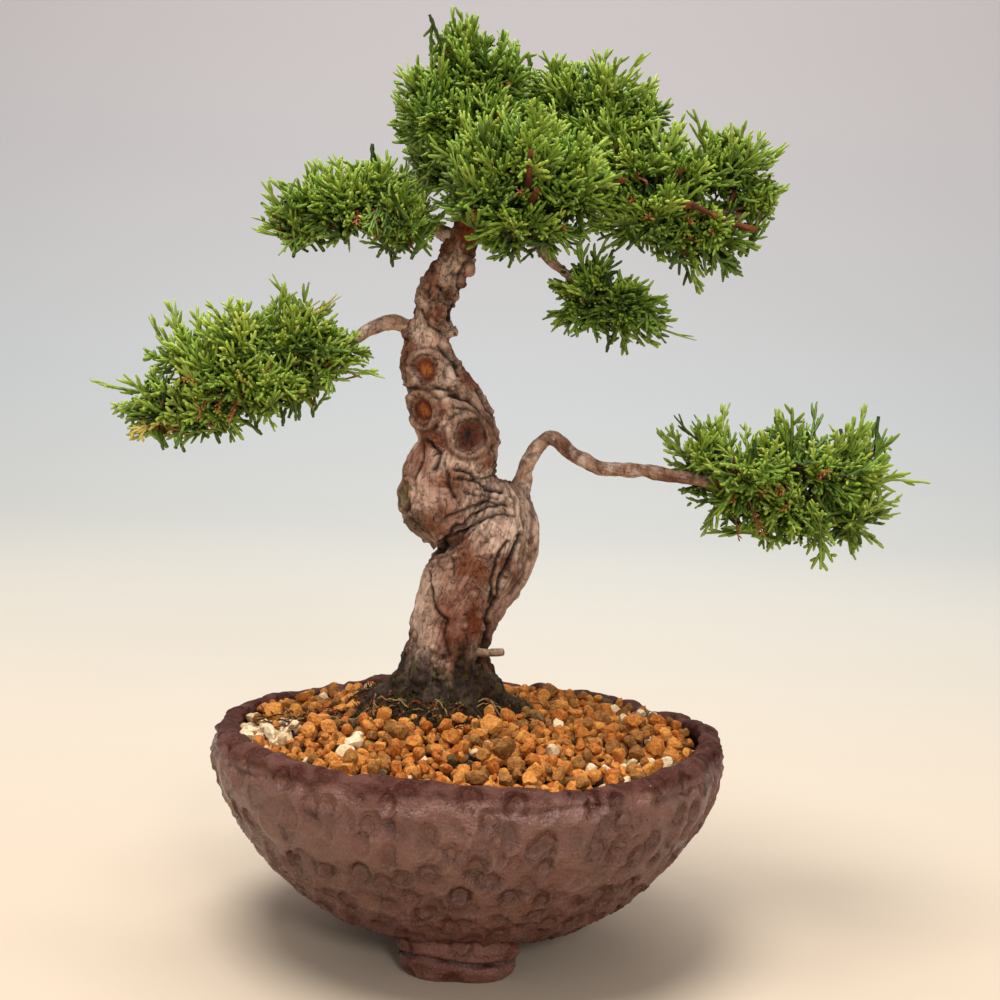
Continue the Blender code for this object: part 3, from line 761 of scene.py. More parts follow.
def make_grains():
    rng = np.random.default_rng(31)
    masters = grain_masters(rng, 12)
    placed = []
    cells = {}
    for layer, tries in ((0, 15000), (1, 4200)):
        for _ in range(tries):
            r, a = 76.0 * math.sqrt(rng.random()), rng.uniform(0, 2 * math.pi)
            x, y = r * math.cos(a), r * math.sin(a)
            size = float(np.clip(rng.normal(2.2, 0.55), 1.2, 3.7)) * (1 if layer == 0 else 0.95)
            if r > 77.2 - size:
                continue
            m = ((x - MOSS_AT[0]) / (MOSS_SIZE[0] - 3)) ** 2 + ((y - MOSS_AT[1]) / (MOSS_SIZE[1] - 3)) ** 2
            if m < 1 - 0.25 * rng.random():
                continue
            streak = ((x + 44) / 23) ** 2 + ((y + 4) / 12) ** 2 < 1
            if streak and rng.random() < 0.93:
                continue
            key = (int(x // 8), int(y // 8))
            near = [g for i in (-1, 0, 1) for j in (-1, 0, 1) for g in cells.get((key[0] + i, key[1] + j), ()) if g[4] == layer]
            if any((x - g[0]) ** 2 + (y - g[1]) ** 2 < ((size + g[3]) * (0.84 if layer == 0 else 1.25)) ** 2 for g in near):
                continue
            z = float(ground(np.array(x), np.array(y))) + (0.25 * size if layer == 0 else 1.05 * size + 1.4)
            g = (x, y, z, size, layer)
            placed.append(g)
            cells.setdefault(key, []).append(g)
    placed = np.array(placed)
    a = np.degrees(np.arctan2(placed[:, 1], placed[:, 0]))
    r = np.hypot(placed[:, 0], placed[:, 1])
    pick = rng.random(len(placed))
    edge = ease(r, 48, 70)
    pale_side = np.exp(-((a + 172) / 24) ** 2) + np.exp(-((a - 180) / 22) ** 2) * 0.9 + 0.7 * np.exp(-((a + 42) / 13) ** 2) + 0.8 * np.exp(-((a - 22) / 14) ** 2) + 0.5 * np.exp(-((a - 122) / 18) ** 2)
    pumice = pick < 0.02 + 0.6 * np.clip(pale_side, 0, 1) * edge
    dark = (~pumice) & (rng.random(len(placed)) < 0.03)
    brown = (~pumice) & (~dark) & (rng.random(len(placed)) < 0.34)
    n = len(placed)
    tone = rng.random(n)
    colour = mix(rgb(192, 104, 32), rgb(240, 164, 78), tone)
    colour = np.where(brown[:, None], mix(rgb(134, 90, 42), rgb(188, 126, 60), tone), colour)
    colour = np.where(dark[:, None], mix(rgb(64, 56, 42), rgb(98, 86, 62), tone), colour)
    colour = np.where(pumice[:, None], mix(rgb(222, 196, 150), rgb(250, 234, 200), tone), colour)
    which = rng.integers(0, len(masters), n)
    turns = random_turns(rng, n)
    for name, chosen, finish, slot in (("baked_grains_left", ~pumice & (placed[:, 0] < 0), BAKED_GRAIN, "grain"),
                                       ("baked_grains_right", ~pumice & (placed[:, 0] >= 0), BAKED_GRAIN, "grain"),
                                       ("pumice_pieces", pumice, PUMICE, "grain")):
        pts, fcs, tints, start = [], [], [], 0
        for k, master in enumerate(masters):
            sel = np.where(chosen & (which == k))[0]
            if not len(sel):
                continue
            p, f = copies(master, placed[sel, :3], turns[sel], placed[sel, 3])
            pts.append(p); fcs.append(f + start); start += len(p)
            tints.append(np.repeat(colour[sel], len(master[0]), axis=0))
        me = mesh_from(name, np.vstack(pts), [np.vstack(fcs)])
        me.polygons.foreach_set("use_smooth", np.zeros(len(me.polygons), bool))
        paint(me, "tint", np.vstack(tints))
        finish_piece(add_object(name, me), finish, slot)


make_ground()
make_moss()
make_grains()


def make_rootlets():
    """Fine reddish roots and dry needles lying over the moss."""
    rng = np.random.default_rng(44)
    parts, tints = [], []
    for n in range(210):
        a, far = rng.uniform(0, 2 * math.pi), rng.uniform(0.45, 1.08)
        x, y = MOSS_AT[0] + math.cos(a) * MOSS_SIZE[0] * far, MOSS_AT[1] + math.sin(a) * MOSS_SIZE[1] * far
        if n >= 150:
            x, y = -44 + 21 * far * math.cos(a), -4 + 11 * far * math.sin(a)
        way = a + rng.normal(0, 1.0)
        reach = rng.uniform(4, 15)
        line = []
        for step in range(7):
            lift = math.sqrt(max(0.0, 1 - ((x - MOSS_AT[0]) / MOSS_SIZE[0]) ** 2 - ((y - MOSS_AT[1]) / MOSS_SIZE[1]) ** 2)) * MOSS_SIZE[2]
            floor = max(MOSS_AT[2] + lift, float(ground(np.array(x), np.array(y))) + 0.4)
            line.append((x, y, floor + 0.5 + rng.uniform(0, 1.5), 0.24 if n % 3 else 0.34))
            way += rng.normal(0, 0.45)
            x, y = x + math.cos(way) * reach / 6, y + math.sin(way) * reach / 6
        skin = round_skin(smooth_path(line, 1.2), 4)
        parts.append(skin)
        tone = rgb(126, 60, 34) if n % 4 == 0 else (rgb(62, 38, 24) if n % 4 < 3 else rgb(156, 128, 84))
        tints.append(np.repeat(tone[None], len(skin[0]), axis=0))
    p, q, f, _ = gather(parts)
    me = mesh_from("rootlets", p, [q, f])
    paint(me, "tint", np.vstack(tints))
    finish_piece(add_object("rootlets", me), MOSS, "moss")


make_rootlets()


# ------------------------------------------------------------------ trunk
LOWER_LEG = [(-10, 13, 66, 17), (-10, 13, 84, 15.5), (-9.2, 12.5, 97, 14), (-6.5, 12, 110, 14.5), (-3, 11, 120, 15), (1.5, 10, 129, 15.5), (3.8, 10, 136, 14.8), (5.5, 9.8, 143, 12.3), (3.5, 10.5, 151, 9.5)]
UPPER_MASS = [(-1, 11, 139, 9.5), (-8.5, 9.5, 143, 14.6), (-11.5, 8.5, 148, 16.5), (-10.8, 8.5, 155.5, 15.8), (-8.3, 8.5, 164, 13.8), (-9, 8.5, 171, 13.5), (-13.2, 8, 178.5, 12.5), (-17.2, 7.5, 187.5, 9.9), (-20.8, 7, 197, 7.7), (-19.2, 6.5, 209, 5.9), (-16.8, 6, 218, 6.3), (-11, 5, 231, 4.6), (-6, 3, 245, 4), (-4, 0, 262, 3), (-8, -2, 280, 2.2), (-10, -2, 292, 1.4)]
PALE_STRAND = [(-1, 8, 90, 2.5), (3.2, 7.8, 101, 3), (7.2, 7.4, 111, 3.6), (11.9, 7, 120, 4), (15, 6.6, 129, 4.5), (15.6, 6.8, 137, 4.9), (13.8, 7.6, 146, 4.7), (11.8, 8, 153, 3.6)]
LEFT_KNOB = [(-17, 8, 149, 5.5), (-20, 7.3, 147.5, 7.2), (-22.5, 7, 146, 7.5), (-24, 6.8, 145.5, 6.6)]
ROOTS = [
    [(-11, 10, 92, 9), (-17, 9.5, 84, 8.5), (-27, 8, 76.5, 6.5), (-40, 6, 70, 4)],
    [(-4, 11, 92, 9), (2, 11, 83, 8), (10, 12, 75.5, 6), (21, 12, 70, 4)],
    [(-10, 8, 90, 8), (-12, 3, 81, 6.5), (-15, -5, 74.5, 4.6), (-20, -12, 70, 2.8)],
    [(-6, 8, 88, 8), (-3, 2, 79.5, 5.6), (1, -5, 73.2, 4), (5, -11, 70, 2.4)],
    [(-9, 18, 88, 7), (-8, 26, 78, 5), (-9, 33, 71, 3)],
]
BURLS = [[(-22, 6, 203, 4), (-26, 6, 205, 4.6)], [(-10, 4.5, 225, 3), (-8, 4, 226.5, 3.1)], [(-14, 5.5, 204, 4), (-13.2, 5, 205.3, 3.3)], [(-15, 3, 215, 2.5), (-14, 1.6, 215.6, 2.6)]]


# long cracks on the front of the trunk, as x, z lines, with how deep each one is
CRACKS = [
    (1.6, [(-17, 127), (-12.3, 131.8), (-8.2, 135.7), (-4, 138.6)]), (0.8, [(-4, 138.6), (2.4, 142.5), (7.2, 144), (12, 143)]),
    (0.9, [(-13, 133), (-8.4, 138), (-3.7, 142.5), (1, 145.4), (7, 147)]), (0.7, [(-11, 142), (-5, 145), (2, 148), (9.5, 146.5)]),
    (1.35, [(13.7, 137), (12.2, 130), (9, 124), (6.3, 116.5), (4.3, 108), (3.5, 100), (1.5, 92)]), (1.0, [(9.5, 135), (6.7, 130), (5.3, 123), (4.6, 114)]),
    (0.8, [(-16, 122), (-14.5, 116), (-13, 111), (-10, 107.5)]), (0.5, [(-8.5, 128), (-7.5, 122)]), (0.6, [(-9, 108), (-10, 101), (-8, 95)]),
    (1.2, [(-11.5, 183), (-4.7, 180.5), (0.5, 175.8), (4, 168.5)]), (0.9, [(-10.7, 179), (-5.8, 178.3), (-0.7, 175)]), (0.8, [(-3, 184), (1, 178), (5, 173)]),
    (1.0, [(-18.5, 167.5), (-14, 163), (-15.6, 157.5)]), (0.9, [(-11.3, 158), (-10.4, 152), (-7.5, 148.5)]), (1.0, [(-8.2, 158.4), (-3.3, 157), (1.9, 152.2), (7.5, 151)]),
    (0.7, [(-7.5, 155.4), (-0.7, 154.6), (6, 156.5)]), (0.6, [(-5, 151), (1, 149.6), (6, 149)]), (0.9, [(-23.6, 147.5), (-24, 142.5), (-20, 137.7), (-16, 134)]),
    (1.0, [(-26, 184.5), (-19.5, 185.4), (-12.2, 184.3)]), (0.9, [(-22.7, 210), (-20, 206), (-15.7, 203.6)]), (0.9, [(-17, 218.5), (-12.5, 213.6), (-12.8, 208)]),
    (0.8, [(-20, 166), (-19.5, 161), (-22, 155)]), (0.7, [(3, 166), (5, 160), (3.5, 156)]), (0.8, [(-16.5, 199), (-12, 195), (-9, 189)]), (0.7, [(-9, 226), (-12, 221), (-10, 217)]),
]


def nearest_mass(points, masses):
    """Index of the nearest mass and of the next, distance off its skin, the next mass's distance, run along it, and turn round it from the front."""
    n = len(points)
    best = np.full((len(masses), n), 1e9)
    runs, turns, radii = (np.zeros((len(masses), n)) for _ in range(3))
    for m, path in enumerate(masses):
        a, b = path[:-1], path[1:]
        d = b[:, :3] - a[:, :3]
        length = np.linalg.norm(d, axis=1)
        total = np.concatenate([[0], np.cumsum(length)])
        for s in range(len(a)):
            w = points - a[s, :3]
            t = np.clip(w @ d[s] / length[s] ** 2, 0, 1)
            off = w - t[:, None] * d[s]
            radius = a[s, 3] + t * (b[s, 3] - a[s, 3])
            dist = np.linalg.norm(off, axis=1) - radius
            nearer = dist < best[m]
            along = d[s] / length[s]
            front = np.array([0, -1.0, 0]) - along * -along[1]
            front = front / np.linalg.norm(front)
            side = np.cross(front, along)
            angle = np.arctan2(off @ side, off @ front)
            best[m] = np.where(nearer, dist, best[m])
            runs[m] = np.where(nearer, total[s] + t * length[s], runs[m])
            turns[m] = np.where(nearer, angle, turns[m])
            radii[m] = np.where(nearer, radius, radii[m])
    order = np.argsort(best, axis=0)
    first, second = order[0], order[1]
    i = np.arange(n)
    return first, second, best[first, i], best[second, i], runs[first, i], turns[first, i], radii[first, i]


def make_trunk():
    masses = [smooth_path(m, 3) for m in (LOWER_LEG, UPPER_MASS, PALE_STRAND, LEFT_KNOB, *ROOTS, *BURLS)]
    p, q, f, w = gather([round_skin(m, 28) for m in masses])
    ob = add_object("trunk_wood", mesh_from("trunk_wood", p, [q, f]))
    remesh = ob.modifiers.new("fuse", "REMESH")
    remesh.mode = "VOXEL"
    remesh.voxel_size = 0.62 * MM
    remesh.use_smooth_shade = True
    relax = ob.modifiers.new("relax", "SMOOTH")
    relax.factor, relax.iterations = 0.5, 14
    apply_all(ob)
    me = ob.data
    p = read_points(me)
    normal = read_normals(me)
    which, next_, off, off_next, run, turn_, radius = nearest_mass(p, masses)
    around = turn_ * radius
    flow = np.stack([run, around, which * 40.0], 1)
    meet = off_next - off
    low_leg, upper, strand, knob = (which == n for n in range(4))

    front = 1 - ease(p[:, 1], 6, 12)
    first_two = np.sort(np.stack([which, next_], 1), axis=1)
    folded = (first_two[:, 1] < 3)
    swell = 1.1 * rough(p, 11, 3) + 0.4 * rough(p, 4.5, 5)
    left_of_fold = 1 - ease(p[:, 0], -15, -3)
    crease = np.exp(-(meet / 1.3) ** 2) * folded * (p[:, 2] < 160) * np.where(first_two[:, 1] == 2, 0.3, 0.12 + 0.88 * left_of_fold)
    wave = meet + 0.7 * rough(p, 7, 81)
    wrinkle = np.cos(wave * 2 * math.pi / 2.3) * np.exp(-meet / 5.5) * folded * (p[:, 2] > 116) * (p[:, 2] < 160)
    strips = rough(flow / [7, 2.0, 1], 1, 7, 3)
    torn = np.abs(lumps(p, 8.5, 17) + 0.5 * lumps(flow / [5, 2.4, 1], 1, 19))
    cuts = (1 - ease(torn, 0.0, 0.06)) * ease(rough(p, 13, 20), -0.05, 0.2)
    old = np.clip(ease(p[:, 2], 164, 190) + ease(rough(p, 15, 23), 0.25, 0.55), 0, 1)
    flakes = rough(np.stack([p[:, 0] + 0.35 * p[:, 2], p[:, 1], p[:, 2] * 0.8], 1), 4.2, 27, 4)
    plate = ease(flakes, -0.04, 0.05) * old
    calm = np.where(strand, 0.3, 1.0) * np.where(knob, 0.55, 1.0)
    rise = swell + (0.35 * strips + 0.85 * plate - 0.75 * cuts) * calm - 1.5 * crease + 0.42 * wrinkle

    # bark folded round the upper stem in slack rings
    slack = ease(p[:, 2], 160, 172) * (1 - ease(p[:, 2], 222, 232))
    sagging = (p[:, 2] + 0.22 * p[:, 0] + 2.2 * rough(p, 9, 83)) / 4.1
    fold = np.abs(sagging - np.floor(sagging) - 0.5) * 2
    rise += slack * (0.8 * fold - 0.4) * ease(rough(p, 12, 85), -0.3, 0.2)

    # stacked flakes across the swelling, over the fold
    stack_zone = ease(p[:, 0], -17, -12) * (1 - ease(p[:, 0], 5, 10)) * ease(p[:, 2], 146, 150) * (1 - ease(p[:, 2], 159, 163)) * front
    ledge = (p[:, 2] + 1.2 * rough(p, 6, 41) + 0.08 * p[:, 0]) / 2.9
    ledge = ledge - np.floor(ledge)
    rise += stack_zone * (0.9 * ledge - 0.5)
    warty = ease(rough(p, 2.6, 43, 2), 0.12, 0.4) * np.exp(-(((p[:, 0] - 4) / 6) ** 2 + ((p[:, 2] - 136) / 8) ** 2)) * front
    rise += warty * 1.3

    bent_x = p[:, 0] + 0.9 * rough(p, 4.5, 91)
    bent_z = p[:, 2] + 0.9 * rough(p, 4.5, 93)
    dark_line = np.zeros(len(p))
    for deep, line in CRACKS:
        gap, side = np.full(len(p), 1e9), np.zeros(len(p))
        for (x0, z0), (x1, z1) in zip(line[:-1], line[1:]):
            dx, dz = x1 - x0, z1 - z0
            share = np.clip(((bent_x - x0) * dx + (bent_z - z0) * dz) / (dx * dx + dz * dz), 0, 1)
            ox, oz = bent_x - x0 - share * dx, bent_z - z0 - share * dz
            far = np.hypot(ox, oz)
            side = np.where(far < gap, np.sign(dx * oz - dz * ox), side)
            gap = np.minimum(gap, far)
        wide = 0.34 + 0.24 * deep
        dark_line = np.maximum(dark_line, np.exp(-(gap / wide) ** 2) * min(1.0, 0.45 + 0.5 * deep))
        rise -= deep * np.exp(-(gap / wide) ** 2) * front
        rise += 0.55 * deep * np.exp(-((gap - 1.5) / 0.9) ** 2) * (side > 0) * front
    dark_line = dark_line * front

    # sleeping buds
    rng = np.random.default_rng(14)
    bud, ring = np.zeros(len(p)), np.zeros(len(p))
    for i in rng.choice(np.where((p[:, 2] > 84) & (p[:, 2] < 236))[0], 130, replace=False):
        near = np.linalg.norm(p - p[i], axis=1) / rng.uniform(0.7, 1.45)
        bud = np.maximum(bud, np.exp(-near**2))
        ring = np.maximum(ring, np.exp(-((near - 1.6) / 0.5) ** 2))
    rise += 0.85 * bud - 0.2 * ring

    tone = 0.55 + 1.25 * rough(p, (10, 10, 14), 51, 2) + 0.25 * rough(p, 3.2, 52, 2)
    colour = mix(rgb(136, 84, 58), rgb(232, 200, 178), np.clip(tone, 0, 1))
    colour = mix(colour, rgb(126, 86, 64), np.clip(strips * 0.6, 0, 0.35))
    low_rust = np.exp(-(((p[:, 0] + 4) / 9) ** 2 + ((p[:, 2] - 102) / 14) ** 2)) * front
    rusty = ease(rough(p, (8, 8, 14), 57, 4), 0.02, 0.25) * np.clip(0.3 * (~low_leg) + ease(p[:, 2], 198, 212) + low_leg * 0.12, 0, 1)
    rusty = np.clip(rusty + low_rust * (1.1 + 0.7 * rough(p, (5, 5, 12), 58, 3)), 0, 1)
    colour = mix(colour, rgb(112, 68, 44), plate * 0.22)
    # painted shadow along the edges of the bark flakes
    edge = np.exp(-((flakes - 0.0) / 0.035) ** 2) * old * calm
    colour = mix(colour, rgb(50, 30, 22), edge * 0.85)
    pale_run = np.clip((strand | knob) * 0.8 + (upper & (p[:, 2] < 152)) * 0.45 + 0.5 * rough(p, 6, 61), 0, 1)
    colour = mix(colour, rgb(224, 194, 174), pale_run * 0.7)
    colour = mix(colour, rgb(126, 58, 26), np.clip(rusty, 0, 1) * 0.9)
    for x, z, size in ((-13, 166.5, 3.4), (-20, 184, 3.6), (-14.5, 178, 3.5), (-6, 188, 4), (-18, 209, 3.5), (-8, 221, 3), (-17, 140, 3), (2, 160, 3)):
        near = np.hypot(p[:, 0] - x, p[:, 2] - z) + 1.5 * rough(p, 3, 95)
        colour = mix(colour, rgb(128, 60, 28), (1 - ease(near, size * 0.4, size * 1.4)) * front * 0.75)
    # painted shade in the torn cuts, which are also sunk
    colour = mix(colour, rgb(50, 33, 25), np.clip(cuts * 0.9 * calm, 0, 0.9))
    # painted shade in the crease between the trunk's masses
    colour = mix(colour, rgb(40, 28, 22), np.clip(crease * 1.1, 0, 0.92))
    # painted shade in the troughs of the wrinkles
    colour = mix(colour, rgb(74, 50, 36), np.clip(wrinkle * -0.9, 0, 0.7))
    # painted shade in the troughs of the slack rings
    colour = mix(colour, rgb(72, 48, 36), slack * (1 - ease(fold, 0.0, 0.25)) * 0.65 * ease(rough(p, 12, 85), -0.3, 0.2))
    # painted shadow under each ledge of the stacked flakes
    colour = mix(colour, rgb(84, 56, 40), stack_zone * (1 - ease(ledge, 0.0, 0.3)) * 0.35)
    colour = mix(colour, rgb(66, 45, 34), np.clip(warty, 0, 0.75))
    # painted shade in the sunk ring round each bud, and a painted highlight on the bud
    colour = mix(colour, rgb(84, 58, 44), ring * 0.55)
    colour = mix(colour, rgb(190, 156, 130), bud * 0.55)
    # painted shade along the long cracks, which are also cut in
    colour = mix(colour, rgb(28, 17, 13), np.clip(dark_line * 1.15, 0, 0.95))

    # healed cuts: sunk wood inside a swollen ring of bark
    def cut_wood(x, z, wood, ring, sunk, heart, rim_wood, tilt=0.0, soft=1.0):
        nonlocal rise, colour
        dx, dz = p[:, 0] - x, p[:, 2] - z
        dx, dz = dx * math.cos(tilt) + dz * math.sin(tilt), -dx * math.sin(tilt) + dz * math.cos(tilt)
        inner = np.hypot(dx / wood[0], dz / wood[1]) + 0.10 * lumps(p, 2.2, int(abs(x * 7)))
        outer = np.hypot(dx / ring[0], dz / ring[1]) + 0.10 * lumps(p, 3.0, int(abs(z * 3)))
        hole = (1 - ease(inner, 0.78, 1.0)) * front
        lip = np.exp(-((inner - 1.28) / 0.26) ** 2) * front
        moat = np.exp(-((outer - 1.1) / 0.09) ** 2) * front
        rise = rise * (1 - np.clip(hole + lip * 0.7, 0, 1) * 0.8)
        rise = rise - sunk * hole * (1 - 0.3 * inner) + 1.5 * lip * soft - 0.7 * moat * soft
        rings = 0.5 + 0.5 * np.sin(inner * 16 + 2 * lumps(p, 2, 5))
        wood_colour = mix(rim_wood * np.ones((len(p), 3)), heart, np.clip((1 - ease(inner, 0.1, 0.75)) + 0.25 * rings - 0.1, 0, 1))
        colour = mix(colour, rgb(158, 122, 98) * (1 + 0.25 * lumps(p, 2, 9)[:, None]), lip * 0.7)
        colour = mix(colour, wood_colour, hole)
        # painted shade along the edge of the sunk wood and in the trench round the swollen ring
        colour = mix(colour, rgb(46, 30, 24), np.clip(np.exp(-((inner - 0.99) / 0.07) ** 2) * front * 0.9 + moat * 0.55, 0, 1))

    cut_wood(-19.9, 191, (3.8, 4.8), (6.6, 6.4), 1.9, rgb(196, 116, 58), rgb(112, 58, 30), 0.2)
    cut_wood(-20.9, 177, (3.7, 4.9), (6.2, 6.6), 1.7, rgb(190, 106, 52), rgb(98, 48, 26), 0.35)
    cut_wood(-4.6, 169.4, (5.0, 5.7), (7.6, 7.0), 2.6, rgb(66, 44, 40), rgb(112, 62, 44), -0.3)
    cut_wood(-14, 215.6, (1.5, 1.6), (2.8, 2.8), 1.0, rgb(60, 40, 32), rgb(110, 76, 56), 0, 0.55)
    cut_wood(-25.6, 148.5, (1.7, 4.6), (3.4, 6.2), 1.5, rgb(112, 104, 66), rgb(140, 128, 84), -0.2, 0.6)

    # darker and mossy towards the foot
    foot_band = 1 - ease(p[:, 2] + 11 * rough(p, (4, 4, 9), 71) - 0.4 * np.maximum(-14 - p[:, 0], 0), 85, 103)
    colour = mix(colour, rgb(34, 20, 12), foot_band * 0.93)
    colour = mix(colour, rgb(84, 78, 36), foot_band * ease(rough(p, 2.2, 73), 0.08, 0.35) * 0.6)
    below_knob = np.exp(-(((p[:, 0] + 22) / 6) ** 2 + ((p[:, 2] - 138) / 4.5) ** 2)) * (normal[:, 2] < 0.2)
    colour = mix(colour, rgb(74, 74, 48), below_knob * 0.7)
    rise += foot_band * 0.9 * rough(p, 2.0, 75)
    p = p + normal * rise[:, None]
    p[:, 2] = np.maximum(p[:, 2], 63)
    write_points(me, p)
    paint(me, "tint", colour)
    paint(me, "flow", flow)
    finish_piece(ob, TRUNK_BARK, "bark", "trunk")


make_trunk()


# ------------------------------------------------------------------ branches
BRANCH_LINES = {
    "branch_left": [(-19, 7, 201, 3.4), (-22, 6.5, 203, 3), (-32, 5, 206, 2.5), (-38.5, 4, 203.8, 2.3), (-45, 3, 199.5, 2.2), (-53.5, 2, 195, 2.1), (-66, 0, 191, 1.8), (-80, -1, 187.5, 1.4), (-97, -2, 183, 1.0)],
    "branch_right": [(4, 9, 143, 4.2), (12.5, 9, 150, 3.6), (15.5, 8, 160, 2.8), (19, 7, 167, 2.6), (23.5, 6, 169.7, 2.6), (31, 5, 164.5, 2.5), (40, 3, 160.5, 2.4), (53, 0, 160.3, 2.2), (70, -3, 158.5, 2.0), (88, -4, 155.5, 1.6), (108, -4, 151, 1.1)],
    "crown_branch_left": [(-10, 4.5, 233, 2.6), (-24, 3, 240, 2.1), (-40, 1, 242, 1.7), (-58, 0, 240, 1.1)],
    "crown_branch_right": [(-4, 2, 252, 2.8), (20, 0, 253, 2.3), (40, -3, 251, 2.0), (60, -5, 248, 1.7), (80, -7, 245, 1.1)],
    "crown_branch_front": [(-5, 1, 257, 2.2), (0, -10, 258, 1.8), (8, -26, 255, 1.1)],
    "crown_branch_top_right": [(-5, -1, 268, 2.0), (12, 1, 274, 1.6), (34, 4, 280, 1.0)],
    "crown_branch_back": [(-5, 2, 249, 2.2), (2, 15, 254, 1.7), (10, 33, 258, 1.1)],
    "crown_branch_hanging": [(-8, 3.5, 241, 2.0), (9, 0, 237, 1.7), (21, -4, 227, 1.5), (38, -8, 214, 1.0)],
}


def bark_bar(path, sides, seed, bumps):
    """A round bar with the knuckles and hairline ridges of young bark."""
    p, q, f, flow = round_skin(path, sides)
    centre = np.vstack([np.repeat(path[:, :3], sides, axis=0), path[0, :3], path[-1, :3]])
    out = unit(p - centre)
    size = np.concatenate([np.repeat(path[:, 3], sides), path[[0, -1], 3]])
    p = p + out * (size * (bumps * rough(p, 4.5, seed) + 0.10 * rough(flow / [5, 0.9, 1], 1, seed + 2)))[:, None]
    flow[:, 2] += seed * 40
    return p, q, f, flow


def make_branches():
    for n, (name, line) in enumerate(BRANCH_LINES.items()):
        long = smooth_path(line, 0.9)
        p, q, f, flow = bark_bar(long, 18, n + 2, 0.30)
        me = mesh_from(name + "_wood", p, [q, f])
        tone = np.clip(0.5 + 0.8 * rough(p, (7, 7, 7), n), 0, 1)
        colour = mix(rgb(140, 98, 74), rgb(200, 166, 142), tone)
        colour = mix(colour, rgb(232, 212, 198), ease(rough(p, 3.4, n + 15, 3), 0.05, 0.3) * 0.6)
        share = flow[:, 0] / flow[:, 0].max()
        colour = mix(colour, rgb(128, 74, 48), ease(share, 0.35, 0.9) * 0.7)
        colour = mix(colour, rgb(70, 48, 36), ease(rough(p, 2.6, n + 9), 0.2, 0.45) * 0.6)
        paint(me, "tint", colour)
        paint(me, "flow", flow)
        finish_piece(add_object(name + "_wood", me), BRANCH_BARK, "branch_bark", name)


make_branches()

# short cut twigs: foot, cut end, radii
CUT_TWIGS = [
    ((0, 5, 95.5), (6, -1, 96.5), 1.7, 1.3), ((6, -1, 96.5), (10, -3, 97.4), 1.4, 1.1),
    ((11, -34, 247), (10.6, -41, 252.5), 1.1, 0.9), ((10.6, -41, 252.5), (11.2, -42, 257.5), 0.9, 0.6), ((12, -34, 243), (13.5, -40, 246), 1.1, 0.9),
    ((52, -14, 246), (63, -18, 246.5), 1.1, 1.0), ((63, -18, 246.5), (71, -20, 243), 1.0, 0.7), ((72, -12, 243), (84, -15, 240), 1.1, 0.9),
    ((36, -18, 250), (41, -22, 253), 0.9, 0.7), ((56, -14, 253), (60, -19, 258), 0.8, 0.6),
]


def make_cut_twigs():
    parts, tints = [], []
    for n, (a, b, r0, r1) in enumerate(CUT_TWIGS):
        a, b = np.array(a, float), np.array(b, float)
        t = np.linspace(0, 1, 9)[:, None]
        line = np.hstack([a * (1 - t) + b * t, r0 * (1 - t) + r1 * t])
        skin = bark_bar(line, 10, n + 30, 0.35)
        share = np.clip(skin[3][:, 0] / np.linalg.norm(b - a), 0, 1)
        parts.append(skin)
        base = mix(rgb(88, 46, 26) * np.ones((len(share), 3)), rgb(132, 74, 38), ease(share, 0.55, 0.95))
        tints.append(base if n > 1 else mix(base, rgb(176, 150, 124), share * 0 + 0.8))
    p, q, f, flow = gather(parts)
    me = mesh_from("cut_twigs", p, [q, f])
    paint(me, "tint", np.vstack(tints))
    paint(me, "flow", flow)
    finish_piece(add_object("cut_twigs", me), BRANCH_BARK, "branch_bark")


make_cut_twigs()


# ------------------------------------------------------------------ foliage
def shoot(length, thick, pitch=1.5):
    """One cord of scale leaves along x: four-sided, pinched between scales, drawn in to a blunt tip."""
    n = max(3, int(round(length / pitch)) + 1)
    x = np.linspace(0, length - thick * 0.5, n)
    r = thick * np.where(np.arange(n) % 2 == 0, 0.86, 1.08) * np.linspace(1.0, 0.88, n)
    r[-1] = thick * 0.66
    points = []
    for i in range(n):
        a = np.arange(4) * math.pi / 2 + (math.pi / 4 if i % 2 else 0)
        points.append(np.stack([np.full(4, x[i]), np.cos(a) * r[i], np.sin(a) * r[i]], 1))
    points = np.vstack(points + [np.array([[length, 0, 0]])])
    i, j = np.meshgrid(np.arange(n - 1), np.arange(4), indexing="ij")
    k = (j + 1) % 4
    quads = np.stack([i * 4 + j, i * 4 + k, (i + 1) * 4 + k, (i + 1) * 4 + j], -1).reshape(-1, 4)
    j = np.arange(4)
    tip = np.stack([(n - 1) * 4 + j, (n - 1) * 4 + (j + 1) % 4, np.full(4, n * 4)], 1)
    along = np.concatenate([np.repeat(x / length, 4), [1.0]])
    return points, quads, tip, along


def bent(points, up, side):
    x = points[:, 0]
    return points + np.stack([x * 0, side * x * x, up * x * x], 1)


def turned(points, yaw, lift, foot):
    """Swings a shoot in the fan's plane by yaw and out of it by lift, and sets its foot."""
    cy, sy, cl, sl = math.cos(yaw), math.sin(yaw), math.cos(lift), math.sin(lift)
    m = np.array([[cy * cl, -sy, -cy * sl], [sy * cl, cy, -sy * sl], [sl, 0, cl]])
    return points @ m.T + foot


